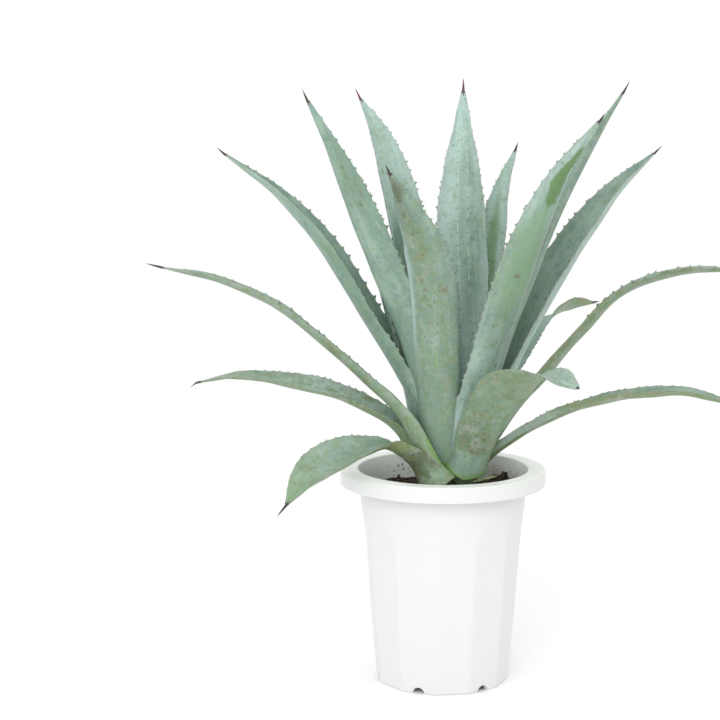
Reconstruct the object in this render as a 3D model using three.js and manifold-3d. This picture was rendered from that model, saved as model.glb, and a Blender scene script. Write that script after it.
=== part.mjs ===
// A century plant in a white pot: a rosette of toothed, channelled leaves with dark
// end spines, on a short stem in soil. Millimetres, +Z up. The origin is the centre of
// the pot's foot, and the plant is looked at from -Y.
import * as THREE from "three";
import { mergeVertices } from "three/addons/utils/BufferGeometryUtils.js";
import Module from "manifold-3d";

const wasm = await Module();
wasm.setup();

// Pot
const POT_HEIGHT = 263;
const RIM_RADIUS = 125;
const RIM_SKIRT = 18.7;
const RIM_ROUND = 3;
const MOUTH_RADIUS = 103;
const NECK_RADIUS = 101.5;
const WALL = 2.6;
const BASE_TOP = 12;
const BASE_UNDERSIDE = 9;
const FOOT_RING = 5;
const FACETS = 12;
const FACET_AT = 9.2;
const SIDES_PER_FACET = 4;
const INNER_SIDES = 24;
// Height, corner radius and distance of the flats from the axis; the flats fade out at
// the collar, where both are equal, which gives them arched tops.
const POT_WALL = [
  [0, 79.8, 77.2],
  [1.6, 81.5, 78.8],
  [80, 88.5, 85.4],
  [172, 94.5, 91.6],
  [182, 95.4, 93.4],
  [200, 97.5, 97.5],
  [223, 100.5, 100.5],
];
// The inside: its radius at the base and where the flats end, and that height.
const INSIDE_FOOT = 76.5;
const INSIDE_BEND = 92.2;
const COLLAR_FOOT = 190;
const MOUTH_FLARE = 2;
const MOUTH_DEPTH = 12;
const NOTCHES = 6;
const NOTCH_RADIUS = 7;
const NOTCH_SIDES = 12;
const DRAIN_HOLES = 6;
const DRAIN_RADIUS = 5;
const DRAIN_CIRCLE = 46;
const DRAIN_SIDES = 8;

// Soil and stem
const GAP = 0.3;
const SOIL_TOP = 231;
const SOIL_MOUND = 5;
const SOIL_EDGE = 97;
const STEM_FOOT = 196;
const STEM_TOP = 266;
const STEM_RADIUS = 25;
const STEM_SHOULDER = 256;
const STEM_SHOULDER_RADIUS = 21;
const STEM_TOP_RADIUS = 9;
const STEM_SIDES = 16;

// Leaves: shares of a leaf's greatest width and thickness at even steps from root to tip
const WIDTH_SHARES = [1, 0.88, 0.82, 0.86, 0.94, 1, 0.97, 0.85, 0.62, 0.33, 0.05];
const FULL_WIDTH_SHARES = [1, 0.88, 0.82, 0.86, 0.94, 1, 0.98, 0.92, 0.8, 0.54, 0.05];
const DROOPING_WIDTH_SHARES = [0.9, 0.7, 0.54, 0.52, 0.62, 0.8, 0.96, 1, 0.84, 0.48, 0.06];
const NECKED_WIDTH_SHARES = [0.5, 0.42, 0.46, 0.62, 0.85, 0.98, 0.98, 0.92, 0.8, 0.54, 0.05];
const CLASPING_WIDTH_SHARES = [1.12, 0.78, 0.82, 0.92, 1, 1.02, 0.88, 0.6, 0.5, 0.42, 0.1];
const TWISTED_WIDTH_SHARES = [1, 0.94, 0.92, 0.97, 1, 0.88, 0.66, 0.52, 0.56, 0.44, 0.06];
const THICKNESS_SHARES = [1, 0.8, 0.6, 0.46, 0.36, 0.3, 0.26, 0.22, 0.19, 0.16, 0.13];
const ROOT_THICKNESS = 17;
const MARGIN_THICKNESS = 1.6;
const ROWS = 12;
const COLUMNS = [-1, -0.62, 0, 0.62, 1];
const UNDER_COLUMNS = [-1, -0.72, 0, 0.72, 1];
const ROUNDING = 2.2;

// Teeth on the margins, and the spine on the tip
const TEETH_PER_MARGIN = 10;
const TEETH_FROM = 0.2;
const TEETH_TO = 0.93;
const TOOTH_HEIGHT = 3.4;
const TOOTH_HALF_LENGTH = 2.9;
const TOOTH_HALF_THICKNESS = 0.8;
const TOOTH_SUNK = 1.8;
const SMALLEST_TOOTH = 0.6;
const BIGGEST_TOOTH_AT = 0.35;
const SPINE_LENGTH = 19;
const SPINE_RADIUS = 1.7;
const SPINE_SIDES = 6;

// The spear of unopened leaves: height and radius
const SPEAR = [
  [268, 8],
  [300, 10.5],
  [345, 12],
  [395, 11],
  [440, 7.5],
  [474, 3],
  [488, 1.2],
];
const SPEAR_LEAN = -0.035;
const SPEAR_SIDES = 12;

const LEAF_GREEN = 0x86a894;
const OLD_LEAF_GREEN = 0x8fa46f;

// Each leaf from the youngest to the oldest. turn is its direction in plan, line its
// midline from root to tip as [out, up] or [out, up, side], roll turns the blade about
// its midline and cup is half the angle of its channel, both at even steps from the root.
// thickness is the root's where it is thinner, spine is the spine's length where it is
// shorter, and hook is how far the spine's point bends down.
const UPRIGHT_CUP = [50, 45, 50, 60];
const FOLDED_CUP = [55, 60, 60, 60];
const LEAVES = [
  {
    name: "leaf_back_tall",
    turn: 90,
    line: [[8, 264, -24], [16, 345, -28], [24, 425, -26], [32, 505, -22], [42, 580, -20],
      [54, 650, -21], [66, 717, -22]],
    width: 60,
    cup: [50, 40, 40, 50],
    spine: 17,
  },
  {
    name: "leaf_front_tall",
    turn: 260,
    line: [[14, 260, 0], [32, 330, 0], [48, 400, -4], [66, 470, -8], [90, 530, -12],
      [118, 582, -24], [150, 627, -36]],
    roll: [0, -14, -18],
    width: 60,
    cup: [50, 50, 58, 60],
    spine: 14,
  },
  {
    name: "leaf_left_tall",
    turn: 212,
    line: [[8, 262], [26, 352], [52, 432], [86, 502], [118, 570], [149, 638], [184, 707]],
    roll: [0, 8, 8],
    width: 58,
    cup: UPRIGHT_CUP,
    spine: 16,
  },
  {
    name: "leaf_back_left_tall",
    turn: 130,
    line: [[9, 262], [24, 345], [46, 432], [72, 528], [99, 600], [131, 663], [164, 707]],
    width: 56,
    cup: UPRIGHT_CUP,
  },
  {
    name: "leaf_right_tall",
    turn: 18,
    line: [[12, 260], [49, 345], [79, 420], [108, 487], [137, 555], [178, 634], [227, 716]],
    width: 50,
    cup: UPRIGHT_CUP,
    spine: 17,
  },
  {
    name: "leaf_right_front_tall",
    turn: -35,
    line: [[12, 260], [42, 335], [71, 408], [99, 477], [129, 550], [165, 622], [211, 685]],
    roll: [0, -10, -10],
    width: 59,
    cup: UPRIGHT_CUP,
    spine: 13,
  },
  {
    name: "leaf_back_right_tall",
    turn: 60,
    line: [[17, 260, -14], [44, 330, -14], [72, 395, -10], [94, 460, -8], [113, 525, -5],
      [135, 588, -4], [178, 643, 0]],
    width: 44,
    cup: UPRIGHT_CUP,
    spine: 14,
  },
  {
    name: "leaf_left_long",
    turn: 174,
    line: [[9, 260], [22, 328], [50, 378], [98, 450], [150, 532], [206, 594], [267, 642]],
    width: 57,
    cup: FOLDED_CUP,
    spine: 14,
  },
  {
    name: "leaf_right_long",
    turn: 32,
    line: [[16, 256], [58, 326], [98, 388], [146, 460], [204, 534], [258, 594], [313, 639]],
    width: 60,
    cup: [50, 55, 60, 60],
    spine: 17,
  },
  {
    name: "leaf_behind_left",
    turn: 148,
    line: [[14, 256], [40, 345], [66, 425], [92, 500], [114, 560], [134, 608], [152, 645]],
    width: 42,
    cup: UPRIGHT_CUP,
  },
  {
    name: "leaf_behind_middle",
    turn: 106,
    line: [[16, 254], [46, 322], [82, 376], [118, 424], [152, 462], [184, 492], [213, 512]],
    width: 50,
    cup: UPRIGHT_CUP,
  },
  {
    name: "leaf_left_arching",
    turn: 190,
    line: [[14, 260, 25], [48, 330, 15], [91, 371, 4], [140, 414], [196, 459], [262, 492], [339, 513]],
    width: 46,
    thickness: 14,
    widthShares: FULL_WIDTH_SHARES,
    cup: [55, 34, 32, 40],
  },
  {
    name: "leaf_right_arching",
    turn: -12,
    line: [[20, 250], [74, 330], [120, 381], [168, 437], [216, 484], [280, 508], [347, 514]],
    width: 48,
    widthShares: FULL_WIDTH_SHARES,
    cup: [55, 32, 30, 40],
  },
  {
    name: "leaf_back_right_twisted",
    turn: 45,
    line: [[22, 250], [64, 312], [104, 358], [142, 400], [182, 430], [228, 444], [274, 445]],
    roll: [0, 0, 12, 16, -52, -60],
    width: 34,
    widthShares: TWISTED_WIDTH_SHARES,
    cup: [50, 36, 22, 34],
    spine: 13,
  },
  {
    name: "leaf_left_low",
    turn: 184,
    line: [[18, 248], [48, 307], [90, 337], [140, 357], [192, 368], [246, 376], [296, 370]],
    roll: [0, -12, -13, -2],
    width: 44,
    thickness: 13,
    cup: [55, 40, 35, 40],
    spine: 12,
    hook: 7,
  },
  {
    name: "leaf_right_low",
    turn: -16,
    line: [[22, 252, 22], [66, 291, 14], [118, 323, 6], [174, 348, 0], [236, 363], [296, 368],
      [354, 358]],
    roll: [-10, -8, 0, 3],
    width: 43,
    widthShares: NECKED_WIDTH_SHARES,
    thickness: 11,
    cup: [55, 46, 42, 42],
  },
  {
    name: "leaf_behind_low_right",
    turn: 78,
    line: [[22, 246], [58, 290], [94, 320], [130, 341], [160, 352], [186, 352], [207, 346]],
    width: 50,
    cup: [55, 40, 38, 40],
  },
  {
    name: "leaf_behind_low_left",
    turn: 96,
    line: [[22, 244], [54, 281], [90, 305], [124, 320], [155, 324], [182, 319], [204, 307]],
    width: 46,
    cup: [55, 40, 38, 40],
  },
  {
    name: "leaf_front_right_short",
    turn: -55,
    line: [[38, 246, 6], [50, 292, 13], [76, 333, 15], [115, 370, 12], [164, 395, 6],
      [212, 403, 0], [256, 396, 0]],
    roll: [0, -18, -22, 0, 38],
    width: 63,
    widthShares: CLASPING_WIDTH_SHARES,
    cup: [56, 45, 40, 35],
    spine: 5,
    old: true,
  },
  {
    name: "leaf_front_left_drooping",
    turn: 218,
    line: [[29, 246, 29], [46, 279, 11], [81, 300], [122, 299], [162, 289], [200, 272], [229, 246]],
    roll: [12, 8, -16, -20, -14],
    width: 54,
    widthShares: DROOPING_WIDTH_SHARES,
    cup: [50, 45, 40, 45],
    old: true,
  },
];

const rad = THREE.MathUtils.degToRad;

/** A smooth curve through equally spaced values, read at t from 0 to 1. */
function smooth(values, t) {
  const last = values.length - 1;
  const x = THREE.MathUtils.clamp(t, 0, 1) * last;
  const i = Math.min(Math.floor(x), last - 1);
  const f = x - i;
  const b = values[i];
  const c = values[i + 1];
  const a = i > 0 ? values[i - 1] : 2 * b - c;
  const d = i + 2 <= last ? values[i + 2] : 2 * c - b;
  return (
    0.5 *
    (2 * b + (c - a) * f + (2 * a - 5 * b + 4 * c - d) * f * f + (3 * b - a - 3 * c + d) * f ** 3)
  );
}

/** A solid from a closed geometry, ready to cut and join. */
function solidOf(geometry) {
  const bare = geometry.clone();
  bare.deleteAttribute("normal");
  bare.deleteAttribute("uv");
  const merged = mergeVertices(bare, 1e-4);
  const mesh = new wasm.Mesh({
    numProp: 3,
    vertProperties: new Float32Array(merged.attributes.position.array),
    triVerts: new Uint32Array(merged.index.array),
  });
  return new wasm.Manifold(mesh);
}

/** A solid's geometry, of its largest body where cuts left several. */
function geometryOf(solid) {
  const bodies = solid.decompose();
  const body = bodies.reduce((best, one) => (one.volume() > best.volume() ? one : best));
  const mesh = body.getMesh();
  const geometry = new THREE.BufferGeometry();
  geometry.setAttribute("position", new THREE.BufferAttribute(mesh.vertProperties, 3));
  geometry.setIndex(new THREE.BufferAttribute(mesh.triVerts, 1));
  geometry.computeVertexNormals();
  return geometry;
}

/** A closed geometry from points and triangles. */
function polyhedron(points, triangles) {
  const geometry = new THREE.BufferGeometry();
  const positions = points.flatMap((p) => [p.x, p.y, p.z]);
  geometry.setAttribute("position", new THREE.Float32BufferAttribute(positions, 3));
  geometry.setIndex(triangles.flat());
  return geometry;
}

/**
 * A skin over rings of equally many points, an even number, closed across both ends.
 * The diagonals of a ring's two halves run alike, so a thin twisted skin stays clear of itself.
 */
function skin(rings) {
  const n = rings[0].length;
  const triangles = [];
  for (let i = 0; i + 1 < rings.length; i++) {
    for (let j = 0; j < n; j++) {
      const a = i * n + j;
      const b = i * n + ((j + 1) % n);
      if (j < n / 2) {
        triangles.push([a, b, b + n], [a, b + n, a + n]);
      } else {
        triangles.push([a, b, a + n], [b, b + n, a + n]);
      }
    }
  }
  const end = (rings.length - 1) * n;
  for (let a = 0; a < n / 2 - 1; a++) {
    const b = a + 1;
    const c = n - 1 - b;
    const d = n - 1 - a;
    triangles.push([a, c, b], [a, d, c]);
    triangles.push([end + a, end + b, end + c], [end + a, end + c, end + d]);
  }
  return polyhedron(rings.flat(), triangles);
}

/** The blade's own axes at t: its place on the midline, and along, across and inward. */
function bladeFrame(leaf, t) {
  const turn = rad(leaf.turn);
  const out = new THREE.Vector3(Math.cos(turn), Math.sin(turn), 0);
  const left = new THREE.Vector3(-Math.sin(turn), Math.cos(turn), 0);
  const part = (k) => leaf.line.map((p) => p[k] ?? 0);
  const at = (u) =>
    new THREE.Vector3(0, 0, smooth(part(1), u))
      .addScaledVector(out, smooth(part(0), u))
      .addScaledVector(left, smooth(part(2), u));
  const step = 0.004;
  const along = at(Math.min(t + step, 1))
    .sub(at(Math.max(t - step, 0)))
    .normalize();
  const level = left.clone().addScaledVector(along, -left.dot(along)).normalize();
  const raised = new THREE.Vector3().crossVectors(along, level);
  const roll = rad(smooth(leaf.roll ?? [0, 0, 0], t));
  const across = level
    .clone()
    .multiplyScalar(Math.cos(roll))
    .addScaledVector(raised, Math.sin(roll));
  const inward = raised.multiplyScalar(Math.cos(roll)).addScaledVector(level, -Math.sin(roll));
  return { place: at(t), along, across, inward };
}

/** The blade's section at t: half its width, half the channel's angle, its thickness. */
function bladeSection(leaf, t) {
  return {
    half: (leaf.width / 2) * smooth(leaf.widthShares ?? WIDTH_SHARES, t),
    cup: rad(smooth(leaf.cup, t)),
    thickness: (leaf.thickness ?? ROOT_THICKNESS) * smooth(THICKNESS_SHARES, t),
  };
}

/** A point of the blade at t, q across it from -1 to 1 and depth below its inner face. */
function bladePoint(leaf, t, q, depth) {
  const { place, across, inward } = bladeFrame(leaf, t);
  const { half, cup } = bladeSection(leaf, t);
  const radius = half / Math.sin(cup);
  const angle = cup * q;
  return place
    .clone()
    .addScaledVector(across, (radius + depth) * Math.sin(angle))
    .addScaledVector(inward, radius - (radius + depth) * Math.cos(angle));
}

/** How thick the blade is at q across it: most along its middle, thin at the margins. */
function bladeDepth(thickness, q) {
  return MARGIN_THICKNESS + (thickness - MARGIN_THICKNESS) * (1 - Math.abs(q) ** ROUNDING);
}

/** The blade as a closed skin, swollen all round by grow. */
function bladeSolid(leaf, grow = 0) {
  const rings = [];
  for (let i = 0; i <= ROWS; i++) {
    const t = i / ROWS;
    const { half, thickness } = bladeSection(leaf, t);
    const wide = 1 + grow / half;
    const endGrowth = new Map([[0, -grow], [ROWS, grow]]);
    const shift = bladeFrame(leaf, t).along.multiplyScalar(endGrowth.get(i) ?? 0);
    const top = COLUMNS.map((q) => bladePoint(leaf, t, q * wide, -grow));
    const under = UNDER_COLUMNS.map((q) =>
      bladePoint(leaf, t, q * wide, bladeDepth(thickness, q) + grow),
    );
    rings.push([...under, ...top.reverse()].map((point) => point.add(shift)));
  }
  return solidOf(skin(rings));
}

/** A point of the faceted skin: on the straight line between the blade's two nearest rows. */
function facetPoint(leaf, t, q, depth) {
  const row = Math.min(Math.floor(t * ROWS), ROWS - 1);
  const before = bladePoint(leaf, row / ROWS, q, depth);
  return before.lerp(bladePoint(leaf, (row + 1) / ROWS, q, depth), t * ROWS - row);
}

/** One three-sided tooth on the margin q (-1 or 1) at t, its root sunk in the blade. */
function toothSolid(leaf, t, q, size) {
  const middle = MARGIN_THICKNESS / 2;
  const margin = facetPoint(leaf, t, q, middle);
  const step = 0.1 / ROWS;
  const along = facetPoint(leaf, t + step, q, middle).sub(margin).normalize();
  const { thickness } = bladeSection(leaf, t);
  const nearTop = facetPoint(leaf, t, q * COLUMNS.at(-2), 0);
  const underColumn = UNDER_COLUMNS.at(-2);
  const nearUnder = facetPoint(leaf, t, q * underColumn, bladeDepth(thickness, underColumn));
  const within = nearTop.add(nearUnder).multiplyScalar(0.5);
  const outward = margin.clone().sub(within);
  outward.addScaledVector(along, -outward.dot(along)).normalize();
  const facing = new THREE.Vector3().crossVectors(along, outward);
  const root = margin.clone().addScaledVector(outward, -TOOTH_SUNK);
  const corner = (side) =>
    root
      .clone()
      .addScaledVector(along, side * TOOTH_HALF_LENGTH * size)
      .addScaledVector(facing, TOOTH_HALF_THICKNESS);
  const points = [
    corner(1),
    corner(-1),
    root.clone().addScaledVector(facing, -TOOTH_HALF_THICKNESS),
    margin.clone().addScaledVector(outward, TOOTH_HEIGHT * size),
  ];
  const triangles = [
    [0, 1, 2],
    [0, 3, 1],
    [1, 3, 2],
    [2, 3, 0],
  ];
  return solidOf(polyhedron(points, triangles));
}

/** All teeth of a leaf, smaller towards both ends, the two margins half a step apart. */
function teeth(leaf) {
  const made = [];
  for (const q of [-1, 1]) {
    for (let k = 0; k < TEETH_PER_MARGIN; k++) {
      const share = (k + (q > 0 ? 0.5 : 0)) / TEETH_PER_MARGIN;
      const t = TEETH_FROM + (TEETH_TO - TEETH_FROM) * share;
      const full = Math.sin(Math.PI * Math.min(1, share + 0.5 - BIGGEST_TOOTH_AT));
      made.push(toothSolid(leaf, t, q, SMALLEST_TOOTH + (1 - SMALLEST_TOOTH) * full));
    }
  }
  return made;
}

/** The spine that carries on from a leaf's tip. */
function spineGeometry(leaf) {
  const { place, along, inward } = bladeFrame(leaf, 1);
  const { thickness } = bladeSection(leaf, 1);
  const length = leaf.spine ?? SPINE_LENGTH;
  const hook = leaf.hook ?? 0;
  const geometry = new THREE.ConeGeometry(SPINE_RADIUS, length, SPINE_SIDES);
  geometry.translate(0, length / 2, 0);
  const upright = new THREE.Vector3(0, 1, 0);
  const pointing = along.clone().multiplyScalar(length).addScaledVector(inward, -hook);
  geometry.applyQuaternion(
    new THREE.Quaternion().setFromUnitVectors(upright, pointing.normalize()),
  );
  const start = place.clone().addScaledVector(inward, -thickness / 2);
  start.addScaledVector(along, GAP + (SPINE_RADIUS * hook) / length);
  return geometry.translate(start.x, start.y, start.z);
}

/** A surface of revolution whose radius may vary round the axis, closed on the axis. */
function turned(profile, sides, radiusAt = (point) => point[0]) {
  const rings = profile.map((point) => {
    const ring = [];
    for (let j = 0; j < sides; j++) {
      const angle = (2 * Math.PI * j) / sides;
      const radius = radiusAt(point, angle);
      ring.push(new THREE.Vector3(radius * Math.cos(angle), radius * Math.sin(angle), point[1]));
    }
    return ring;
  });
  return skin(rings);
}

/** The pot's outside from foot to mouth, less its inside, with notches and drain holes. */
function potSolid() {
  const sides = FACETS * SIDES_PER_FACET;
  const step = (2 * Math.PI) / FACETS;
  const outer = POT_WALL.map(([z, corner, flat]) => [corner, z, flat]);
  const skirtFoot = POT_HEIGHT - RIM_SKIRT;
  outer.push([NECK_RADIUS, skirtFoot, NECK_RADIUS]);
  const facetedRadius = ([corner, , flat], angle) => {
    const off = THREE.MathUtils.euclideanModulo(angle + step / 2, step) - step / 2;
    return Math.min(corner, flat / Math.cos(off));
  };
  const body = solidOf(turned(outer, sides, facetedRadius));
  const rimProfile = [
    [RIM_RADIUS, skirtFoot],
    [RIM_RADIUS, POT_HEIGHT - RIM_ROUND],
    [RIM_RADIUS - RIM_ROUND * 0.3, POT_HEIGHT - RIM_ROUND * 0.3],
    [RIM_RADIUS - RIM_ROUND, POT_HEIGHT],
  ];
  const rim = solidOf(turned(rimProfile, sides));
  const under = ringSolid(
    MOUTH_RADIUS + WALL,
    RIM_RADIUS - WALL,
    skirtFoot - 1,
    POT_HEIGHT - WALL,
    INNER_SIDES,
  );
  const insideProfile = [
    [INSIDE_FOOT, BASE_TOP],
    [INSIDE_BEND, COLLAR_FOOT],
    [MOUTH_RADIUS - MOUTH_FLARE, POT_HEIGHT - MOUTH_DEPTH],
    [MOUTH_RADIUS + 1, POT_HEIGHT + 1],
  ];
  const inside = solidOf(turned(insideProfile, INNER_SIDES));
  const hollowFoot = POT_WALL[1][2] - FOOT_RING;
  const footProfile = [
    [hollowFoot, -1],
    [hollowFoot, BASE_UNDERSIDE],
  ];
  const foot = solidOf(turned(footProfile, INNER_SIDES));
  let pot = body.add(rim).subtract(under).subtract(inside).subtract(foot);
  for (let k = 0; k < NOTCHES; k++) {
    const length = 6 * FOOT_RING;
    const notch = new THREE.CylinderGeometry(NOTCH_RADIUS, NOTCH_RADIUS, length, NOTCH_SIDES);
    notch.rotateZ(Math.PI / 2);
    notch.translate(hollowFoot + FOOT_RING / 2, 0, 0);
    notch.rotateZ((2 * Math.PI * k) / NOTCHES);
    pot = pot.subtract(solidOf(notch));
  }
  for (let k = 0; k < DRAIN_HOLES; k++) {
    const depth = 3 * BASE_TOP;
    const hole = new THREE.CylinderGeometry(DRAIN_RADIUS, DRAIN_RADIUS, depth, DRAIN_SIDES);
    hole.rotateX(Math.PI / 2);
    hole.translate(DRAIN_CIRCLE, 0, 0);
    hole.rotateZ((2 * Math.PI * k) / DRAIN_HOLES);
    pot = pot.subtract(solidOf(hole));
  }
  return pot;
}

/** A plain ring between two radii and two heights. */
function ringSolid(inner, outer, low, high, sides) {
  const disc = (radius, from, to) => {
    const wall = [
      [radius, from],
      [radius, to],
    ];
    return solidOf(turned(wall, sides));
  };
  return disc(outer, low, high).subtract(disc(inner, low - 1, high + 1));
}

/** The soil, mounded a little towards the stem, which stands in a plain hole in it. */
function soilSolid() {
  const profile = [
    [INSIDE_FOOT - GAP, BASE_TOP + GAP],
    [INSIDE_BEND - GAP, COLLAR_FOOT],
    [SOIL_EDGE, SOIL_TOP],
    [0.7 * SOIL_EDGE, SOIL_TOP + 0.5 * SOIL_MOUND],
    [0.4 * SOIL_EDGE, SOIL_TOP + SOIL_MOUND],
  ];
  const holeWall = [
    [STEM_RADIUS + 3 * GAP, STEM_FOOT - GAP],
    [STEM_RADIUS + 3 * GAP, SOIL_TOP + 2 * SOIL_MOUND],
  ];
  const hole = solidOf(turned(holeWall, STEM_SIDES));
  return solidOf(turned(profile, INNER_SIDES)).subtract(hole);
}

/** The short stem, which narrows where the leaves crowd. */
function stemSolid(grow = 0) {
  const profile = [
    [STEM_RADIUS + grow, STEM_FOOT - grow],
    [STEM_RADIUS + grow, SOIL_TOP + SOIL_MOUND],
    [STEM_SHOULDER_RADIUS + grow, STEM_SHOULDER],
    [STEM_TOP_RADIUS + grow, STEM_TOP + grow],
  ];
  return solidOf(turned(profile, STEM_SIDES));
}

/** The spear of unopened leaves, rolled tight and leaning a little. */
function spearSolid(grow = 0) {
  const foot = SPEAR[0][0];
  const rings = SPEAR.map(([z, radius]) => {
    const ring = [];
    for (let j = 0; j < SPEAR_SIDES; j++) {
      const angle = (2 * Math.PI * j) / SPEAR_SIDES;
      const lean = SPEAR_LEAN * (z - foot);
      const r = radius + grow;
      ring.push(new THREE.Vector3(lean + r * Math.cos(angle), r * Math.sin(angle), z));
    }
    return ring;
  });
  return solidOf(skin(rings));
}

const plant = new THREE.Group();

function addMesh(name, geometry, material) {
  const mesh = new THREE.Mesh(geometry, material);
  mesh.name = name;
  plant.add(mesh);
  return mesh;
}

const plastic = new THREE.MeshStandardMaterial({ color: 0xf2f1ee, roughness: 0.35 });
const pot = addMesh("pot", geometryOf(potSolid()), plastic);
pot.rotation.z = rad(FACET_AT);

const earth = new THREE.MeshStandardMaterial({ color: 0x3b2c22, roughness: 1 });
const soil = addMesh("soil", geometryOf(soilSolid()), earth);
soil.rotation.z = rad(FACET_AT);

const stemSkin = new THREE.MeshStandardMaterial({ color: 0x7d8f6c, roughness: 0.8 });
addMesh("stem", geometryOf(stemSolid()), stemSkin);

const spearSkin = new THREE.MeshStandardMaterial({ color: 0x9dbdaa, roughness: 0.6 });
addMesh("spear", geometryOf(spearSolid()), spearSkin);

// Each leaf gives way to the pot's rim, the soil, the stem, the spear and the younger
// leaves, so the bases clasp. A tooth that would reach another leaf is left out.
const rimRoom = ringSolid(
  MOUTH_RADIUS - MOUTH_FLARE,
  RIM_RADIUS + 1,
  STEM_FOOT,
  POT_HEIGHT + GAP,
  INNER_SIDES,
);
const soilRoomProfile = [
  [SOIL_EDGE / 2, STEM_FOOT],
  [SOIL_EDGE / 2, SOIL_TOP + SOIL_MOUND + GAP],
];
const soilRoom = solidOf(turned(soilRoomProfile, STEM_SIDES));
const rooms = LEAVES.map((leaf) => bladeSolid(leaf, GAP));
const fixed = [stemSolid(GAP), spearSolid(GAP), rimRoom, soilRoom];
LEAVES.forEach((leaf, index) => {
  const others = rooms.filter((room, k) => k !== index);
  const clear = (tooth) => others.every((room) => room.intersect(tooth).isEmpty());
  const toothed = teeth(leaf)
    .filter(clear)
    .reduce((whole, tooth) => whole.add(tooth), bladeSolid(leaf));
  const younger = rooms.slice(0, index);
  const cut = [...fixed, ...younger].reduce((whole, room) => whole.subtract(room), toothed);
  const colour = leaf.old ? OLD_LEAF_GREEN : LEAF_GREEN;
  const leafSkin = new THREE.MeshStandardMaterial({ color: colour, roughness: 0.6 });
  addMesh(leaf.name, geometryOf(cut), leafSkin);
  const spineSkin = new THREE.MeshStandardMaterial({ color: 0x2a1d1a, roughness: 0.5 });
  addMesh(leaf.name.replace("leaf", "spine"), spineGeometry(leaf), spineSkin);
});

export default plant;
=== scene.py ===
import bpy
import numpy as np
from bpy.props import FloatProperty, FloatVectorProperty, IntProperty, PointerProperty
from bpy.types import Operator, Panel, PropertyGroup
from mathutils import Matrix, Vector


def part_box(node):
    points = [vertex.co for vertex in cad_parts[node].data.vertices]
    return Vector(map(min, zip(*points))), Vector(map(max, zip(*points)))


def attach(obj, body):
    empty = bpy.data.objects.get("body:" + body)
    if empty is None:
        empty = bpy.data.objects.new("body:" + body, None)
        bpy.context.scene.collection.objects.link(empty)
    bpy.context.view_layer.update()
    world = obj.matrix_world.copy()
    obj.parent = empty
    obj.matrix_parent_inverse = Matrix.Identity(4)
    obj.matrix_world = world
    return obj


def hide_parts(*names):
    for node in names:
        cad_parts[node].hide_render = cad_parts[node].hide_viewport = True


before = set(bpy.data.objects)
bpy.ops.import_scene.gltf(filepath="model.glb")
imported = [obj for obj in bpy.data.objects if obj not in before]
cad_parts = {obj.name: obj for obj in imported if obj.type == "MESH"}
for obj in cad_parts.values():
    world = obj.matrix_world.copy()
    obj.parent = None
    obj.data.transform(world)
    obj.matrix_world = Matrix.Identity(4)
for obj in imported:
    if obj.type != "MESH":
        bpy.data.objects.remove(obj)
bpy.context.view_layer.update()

bl_info = {
    "name": "Potted Century Plant",
    "version": (1, 0, 0),
    "blender": (4, 5, 0),
    "location": "3D View > Sidebar > Century Plant",
    "description": "Makes the leaves, soil, stem and pot of a potted century plant",
    "category": "Object",
}

# One millimetre, for the sizes and tables that are given in millimetres
MM = 0.001

# Pot: its height and rim come from its solid
POT_LOW, POT_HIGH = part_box("pot")
POT_HEIGHT = POT_HIGH[2]
RIM_RADIUS = (POT_HIGH[0] - POT_LOW[0]) / 2
RIM_SKIRT = 18.7 * MM
WALL = 2.6 * MM
BASE_TOP = 12 * MM
BASE_UNDERSIDE = 9 * MM
FOOT_INNER_RADIUS = 73.8 * MM
FACETS = 12
FACET_AT = np.radians(9.2)
ARCH_FOOT = 170 * MM
ARCH_TOP = 203 * MM
NOTCH_RADIUS = 7 * MM
DRAIN_HOLES = 6
DRAIN_RADIUS = 5 * MM
DRAIN_CIRCLE = 46 * MM
# Outer wall from the neck down to the foot: radius at its corners, and height
OUTER_WALL = np.array([
    [101.5, 244.3], [100.5, 223], [97.7, 203], [94.6, 172], [88.5, 80], [81.6, 1.8], [80.2, 0],
]) * MM
# Inner wall from the base up to the mouth: radius and height
INNER_WALL = np.array([[76.5, 12], [92.2, 190], [101, 251], [103.8, 263]]) * MM
MOUTH_RADIUS = INNER_WALL[-1, 0]

# Soil and stem
SOIL_TOP = 231 * MM
SOIL_MOUND = 5 * MM
SOIL_EDGE = 97 * MM
# Heaps of soil: x, y, reach and height
SOIL_HEAPS = np.array([
    [77, 50, 7, 16], [66, 58, 8, 10], [90, 33, 4, 16], [-52, 66, 20, 3], [-80, 34, 12, 3],
]) * MM
STEM_FOOT = 196 * MM
STEM_PROFILE = np.array([[25, 196], [27, 236], [26, 252], [19, 261], [9, 266]]) * MM
STEM_RING = 9 * MM

# Litter: a strip of an old leaf beside the stem, as its two ends and the corner it bends
# round, and the middle of the gathered specks on the inner wall, as an angle round the pot
STRIP = np.array([[23, 8, 240], [46, 16, 244], [67, 3, 252]]) * MM
STRIP_HALF_WIDTH = 2 * MM
SPECKS_AT = np.radians(118)

# Stage: the camera's focal length and sensor in millimetres, how far it looks down and to the
# left in radians, the point that the lights face, and half the floor's side in metres
FOCAL_LENGTH = 95.875
SENSOR_WIDTH = 36
LOOKS_DOWN = 0.143
LOOKS_LEFT = 0.044
LIGHT_TARGET = (0, 0, 0.35)
FLOOR_REACH = 14

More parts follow.
